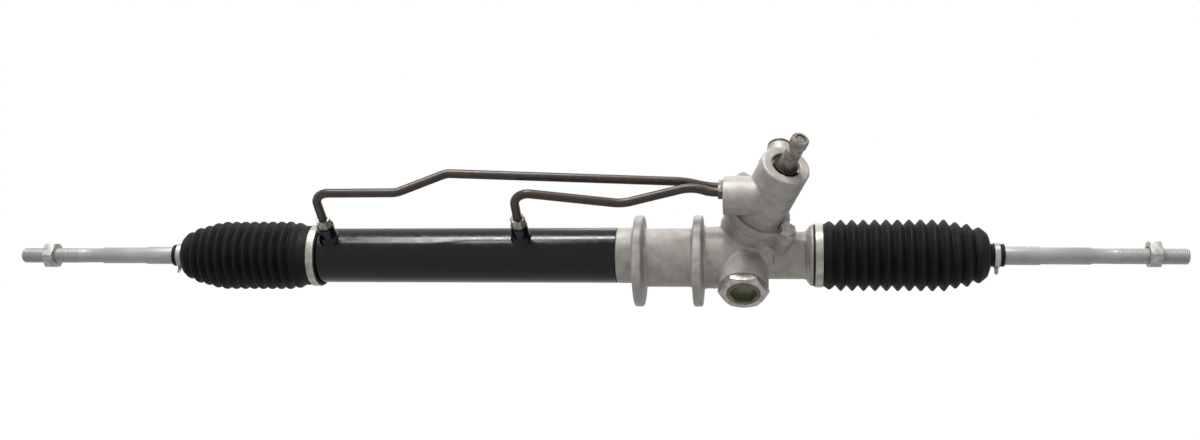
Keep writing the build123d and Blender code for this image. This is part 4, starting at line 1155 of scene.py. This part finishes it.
@dataclass
class EdgedPiece:
    """A hard part with softly rounded edges. Lengths in millimetres."""

    node: str
    name: str
    slot: str
    bevel: float = 0.3
    from_x: float = -1000.0
    to_x: float = 1000.0
    flat_angle: float = 1.0
    edge_angle: float = 28.0

    def keep_stretch(self, piece: bpy.types.Object) -> None:
        """Deletes what lies outside the stretch along the rack."""
        select_only(piece, "vertices", lambda vertex: not self.from_x < vertex.co.x / MM < self.to_x)
        with editing(piece):
            bpy.ops.mesh.delete(type="VERT")

    def build(self, paint: Paintbox) -> None:
        """Copies the node and rounds its edges."""
        body = frame["nodes"][self.node]["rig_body"]
        piece = copy_of(self.node, self.name)
        self.keep_stretch(piece)
        with editing(piece, "SELECT"):
            bpy.ops.mesh.dissolve_limited(angle_limit=math.radians(self.flat_angle))
        apply_modifier(
            piece, "BEVEL", width=self.bevel * MM, segments=2, limit_method="ANGLE",
            angle_limit=math.radians(self.edge_angle), use_clamp_overlap=True,
        )
        smooth(piece, self.edge_angle)
        paint.dress(piece, self.slot)
        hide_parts(self.node)
        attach(piece, body)
        LOG.info("made %s", piece.name)


# ---- castings ----
@dataclass
class Casting:
    """A cast piece, with the soft edges and fillets that casting gives."""

    node: str
    name: str
    voxel: float
    rounds: int
    softness: float = 0.5

    def build(self, paint: Paintbox) -> None:
        """Copies the node's shape and softens it."""
        piece = copy_of(self.node, self.name)
        voxel = self.voxel * MM
        apply_modifier(piece, "REMESH", mode="VOXEL", voxel_size=voxel, use_smooth_shade=True)
        apply_modifier(piece, "SMOOTH", factor=self.softness, iterations=self.rounds)
        paint.dress(piece, "cast_aluminium")
        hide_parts(self.node)
        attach(piece, "housing")
        LOG.info("made %s with %d faces", piece.name, len(piece.data.polygons))


# ---- light and camera ----
@dataclass
class Studio:
    """White studio, soft light and the camera. Lengths in metres."""

    frame_width: int = 1200
    focal_pixels: float = 1340.0
    sensor: float = 36.0
    camera_place: tuple[float, float, float] = (0.0894, -1.205, 0.0)
    camera_yaw: float = 7.2
    camera_pitch: float = 1.51
    floor_height: float = -0.22
    floor_size: float = 16.0
    floor_grey: float = 0.36
    floor_glow: float = 1.03
    shadow_share: float = 0.05
    surround: float = 0.22
    near_clip: float = 0.05

    def camera(self) -> None:
        """Adds the camera."""
        data = bpy.data.cameras.new("camera")
        data.sensor_width = self.sensor
        data.lens = self.sensor * self.focal_pixels / self.frame_width
        data.clip_start = self.near_clip
        made = bpy.data.objects.new("camera", data)
        bpy.context.collection.objects.link(made)
        made.location = self.camera_place
        pitch, yaw = math.radians(90 + self.camera_pitch), math.radians(self.camera_yaw)
        made.rotation_euler = (pitch, 0, yaw)
        bpy.context.scene.camera = made

    def world(self) -> None:
        """White where it is seen, softer where it lights."""
        world = bpy.data.worlds.new("studio")
        bpy.context.scene.world = world
        graph = Graph(world)
        lighting = graph.node("ShaderNodeBackground", {}, {"Color": WHITE, "Strength": self.surround})
        seen = graph.node("ShaderNodeBackground", {}, {"Color": WHITE, "Strength": 1.0})
        mixed = graph.node("ShaderNodeMixShader", {}, (graph.seen_ray(), lighting, seen))
        graph.node("ShaderNodeOutputWorld", {}, {"Surface": mixed})

    def floor(self) -> None:
        """A wide pale floor, well below the rack, that keeps a light shadow."""
        deselect_all()
        bpy.ops.mesh.primitive_plane_add(size=self.floor_size, location=(0, 0, self.floor_height))
        floor = bpy.context.object
        floor.name = "floor"
        material = bpy.data.materials.new("floor_white")
        graph = Graph(material)
        matt = graph.node("ShaderNodeBsdfDiffuse", {}, {"Color": (self.floor_grey,) * 3})
        glow = graph.node("ShaderNodeEmission", {}, {"Color": WHITE, "Strength": self.floor_glow})
        share = graph.seen_ray() * (1 - self.shadow_share)
        mixed = graph.node("ShaderNodeMixShader", {}, (share, matt, glow))
        graph.node("ShaderNodeOutputMaterial", {}, {"Surface": mixed})
        floor.data.materials.append(material)

    def lamp(self, name: str, kind: str, place: tuple, power: float, **settings: float) -> None:
        """Adds one lamp that points at the rack.

        Args:
            name: the lamp's name.
            kind: AREA or SUN.
            place: where it stands.
            power: in watts, or the sun's strength.
            settings: further settings of the lamp.
        """
        data = bpy.data.lights.new(name, kind)
        data.energy = power
        for key, value in settings.items():
            setattr(data, key, value)
        lamp = bpy.data.objects.new(name, data)
        bpy.context.collection.objects.link(lamp)
        lamp.location = place
        lamp.rotation_euler = (-Vector(place)).to_track_quat("-Z", "Y").to_euler()

    def build(self) -> None:
        """Sets up everything but the rack."""
        bpy.context.scene.view_settings.view_transform = "Standard"
        self.camera()
        self.world()
        self.floor()
        self.lamp("soft_sun", "SUN", place=(-0.35, -0.65, 2.6), power=3.3, angle=math.radians(16))
        self.lamp("key_lamp", "AREA", place=(-0.588, -0.78, 1.42), power=12,
                  shape="RECTANGLE", size=0.3, size_y=0.36)
        self.lamp("back_lamp", "AREA", place=(0.3, 1.3, 1.2), power=6,
                  shape="RECTANGLE", size=1.4, size_y=0.6)


# ---- the whole rack ----
PARTS = (
    Boot(Side.LEFT, start=LEFT_CUFF_X, cuff=17.0, first_peak=22.7, folds=13, pitch=8.775, cone=7.2,
         neck_length=9.6, taper=(0.96, 0.885, 0.82, 0.69)),
    Boot(Side.RIGHT, start=RIGHT_CUFF_X, cuff=9.0, first_peak=14.1, folds=14, pitch=9.9, cone=10.1,
         neck_length=11.5, taper=(0.925, 0.875, 0.775)),
    BootBand(Side.LEFT, start=LEFT_CUFF_X),
    BootBand(Side.RIGHT, start=RIGHT_CUFF_X),
    SpringClip(Side.LEFT, place_x=457.6),
    SpringClip(Side.RIGHT, place_x=283.7),
    TieRod(Side.LEFT, ball_x=LEFT_BALL_X),
    TieRod(Side.RIGHT, ball_x=RIGHT_BALL_X, tilt=0.3),
    InputShaft(),
    WeldBead("left_weld_bead", port_x=-310.6),
    WeldBead("right_weld_bead", port_x=-132.0),
    EdgedPiece("left_jam_nut", "left_rod_nut", "nut_steel", bevel=0.5),
    EdgedPiece("right_jam_nut", "right_rod_nut", "nut_steel", bevel=0.5),
    EdgedPiece("flare_nuts", "tube_port_nuts", "pipe_nut_zinc", to_x=0),
    EdgedPiece("flare_nuts", "valve_port_nuts", "dark_zinc", from_x=0),
    EdgedPiece("adjuster_lock_nut", "yoke_lock_nut", "lock_nut_zinc", bevel=0.5),
    EdgedPiece("adjuster_plug", "yoke_plug", "olive_zinc", bevel=0.5),
    EdgedPiece("valve_housing_bolts", "flange_bolts", "nut_steel"),
    Casting("rack_housing", "gear_casting", voxel=1.1, rounds=4),
    Casting("valve_housing", "valve_casting", voxel=0.8, rounds=3),
)


def main() -> None:
    """Builds the whole scene."""
    logging.basicConfig(level=logging.INFO, format="%(name)s: %(message)s")
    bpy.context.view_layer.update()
    Studio().build()
    paint = Paintbox()
    paint.dress_nodes()
    for part in PARTS:
        part.build(paint)


if __name__ == "__main__":
    main()
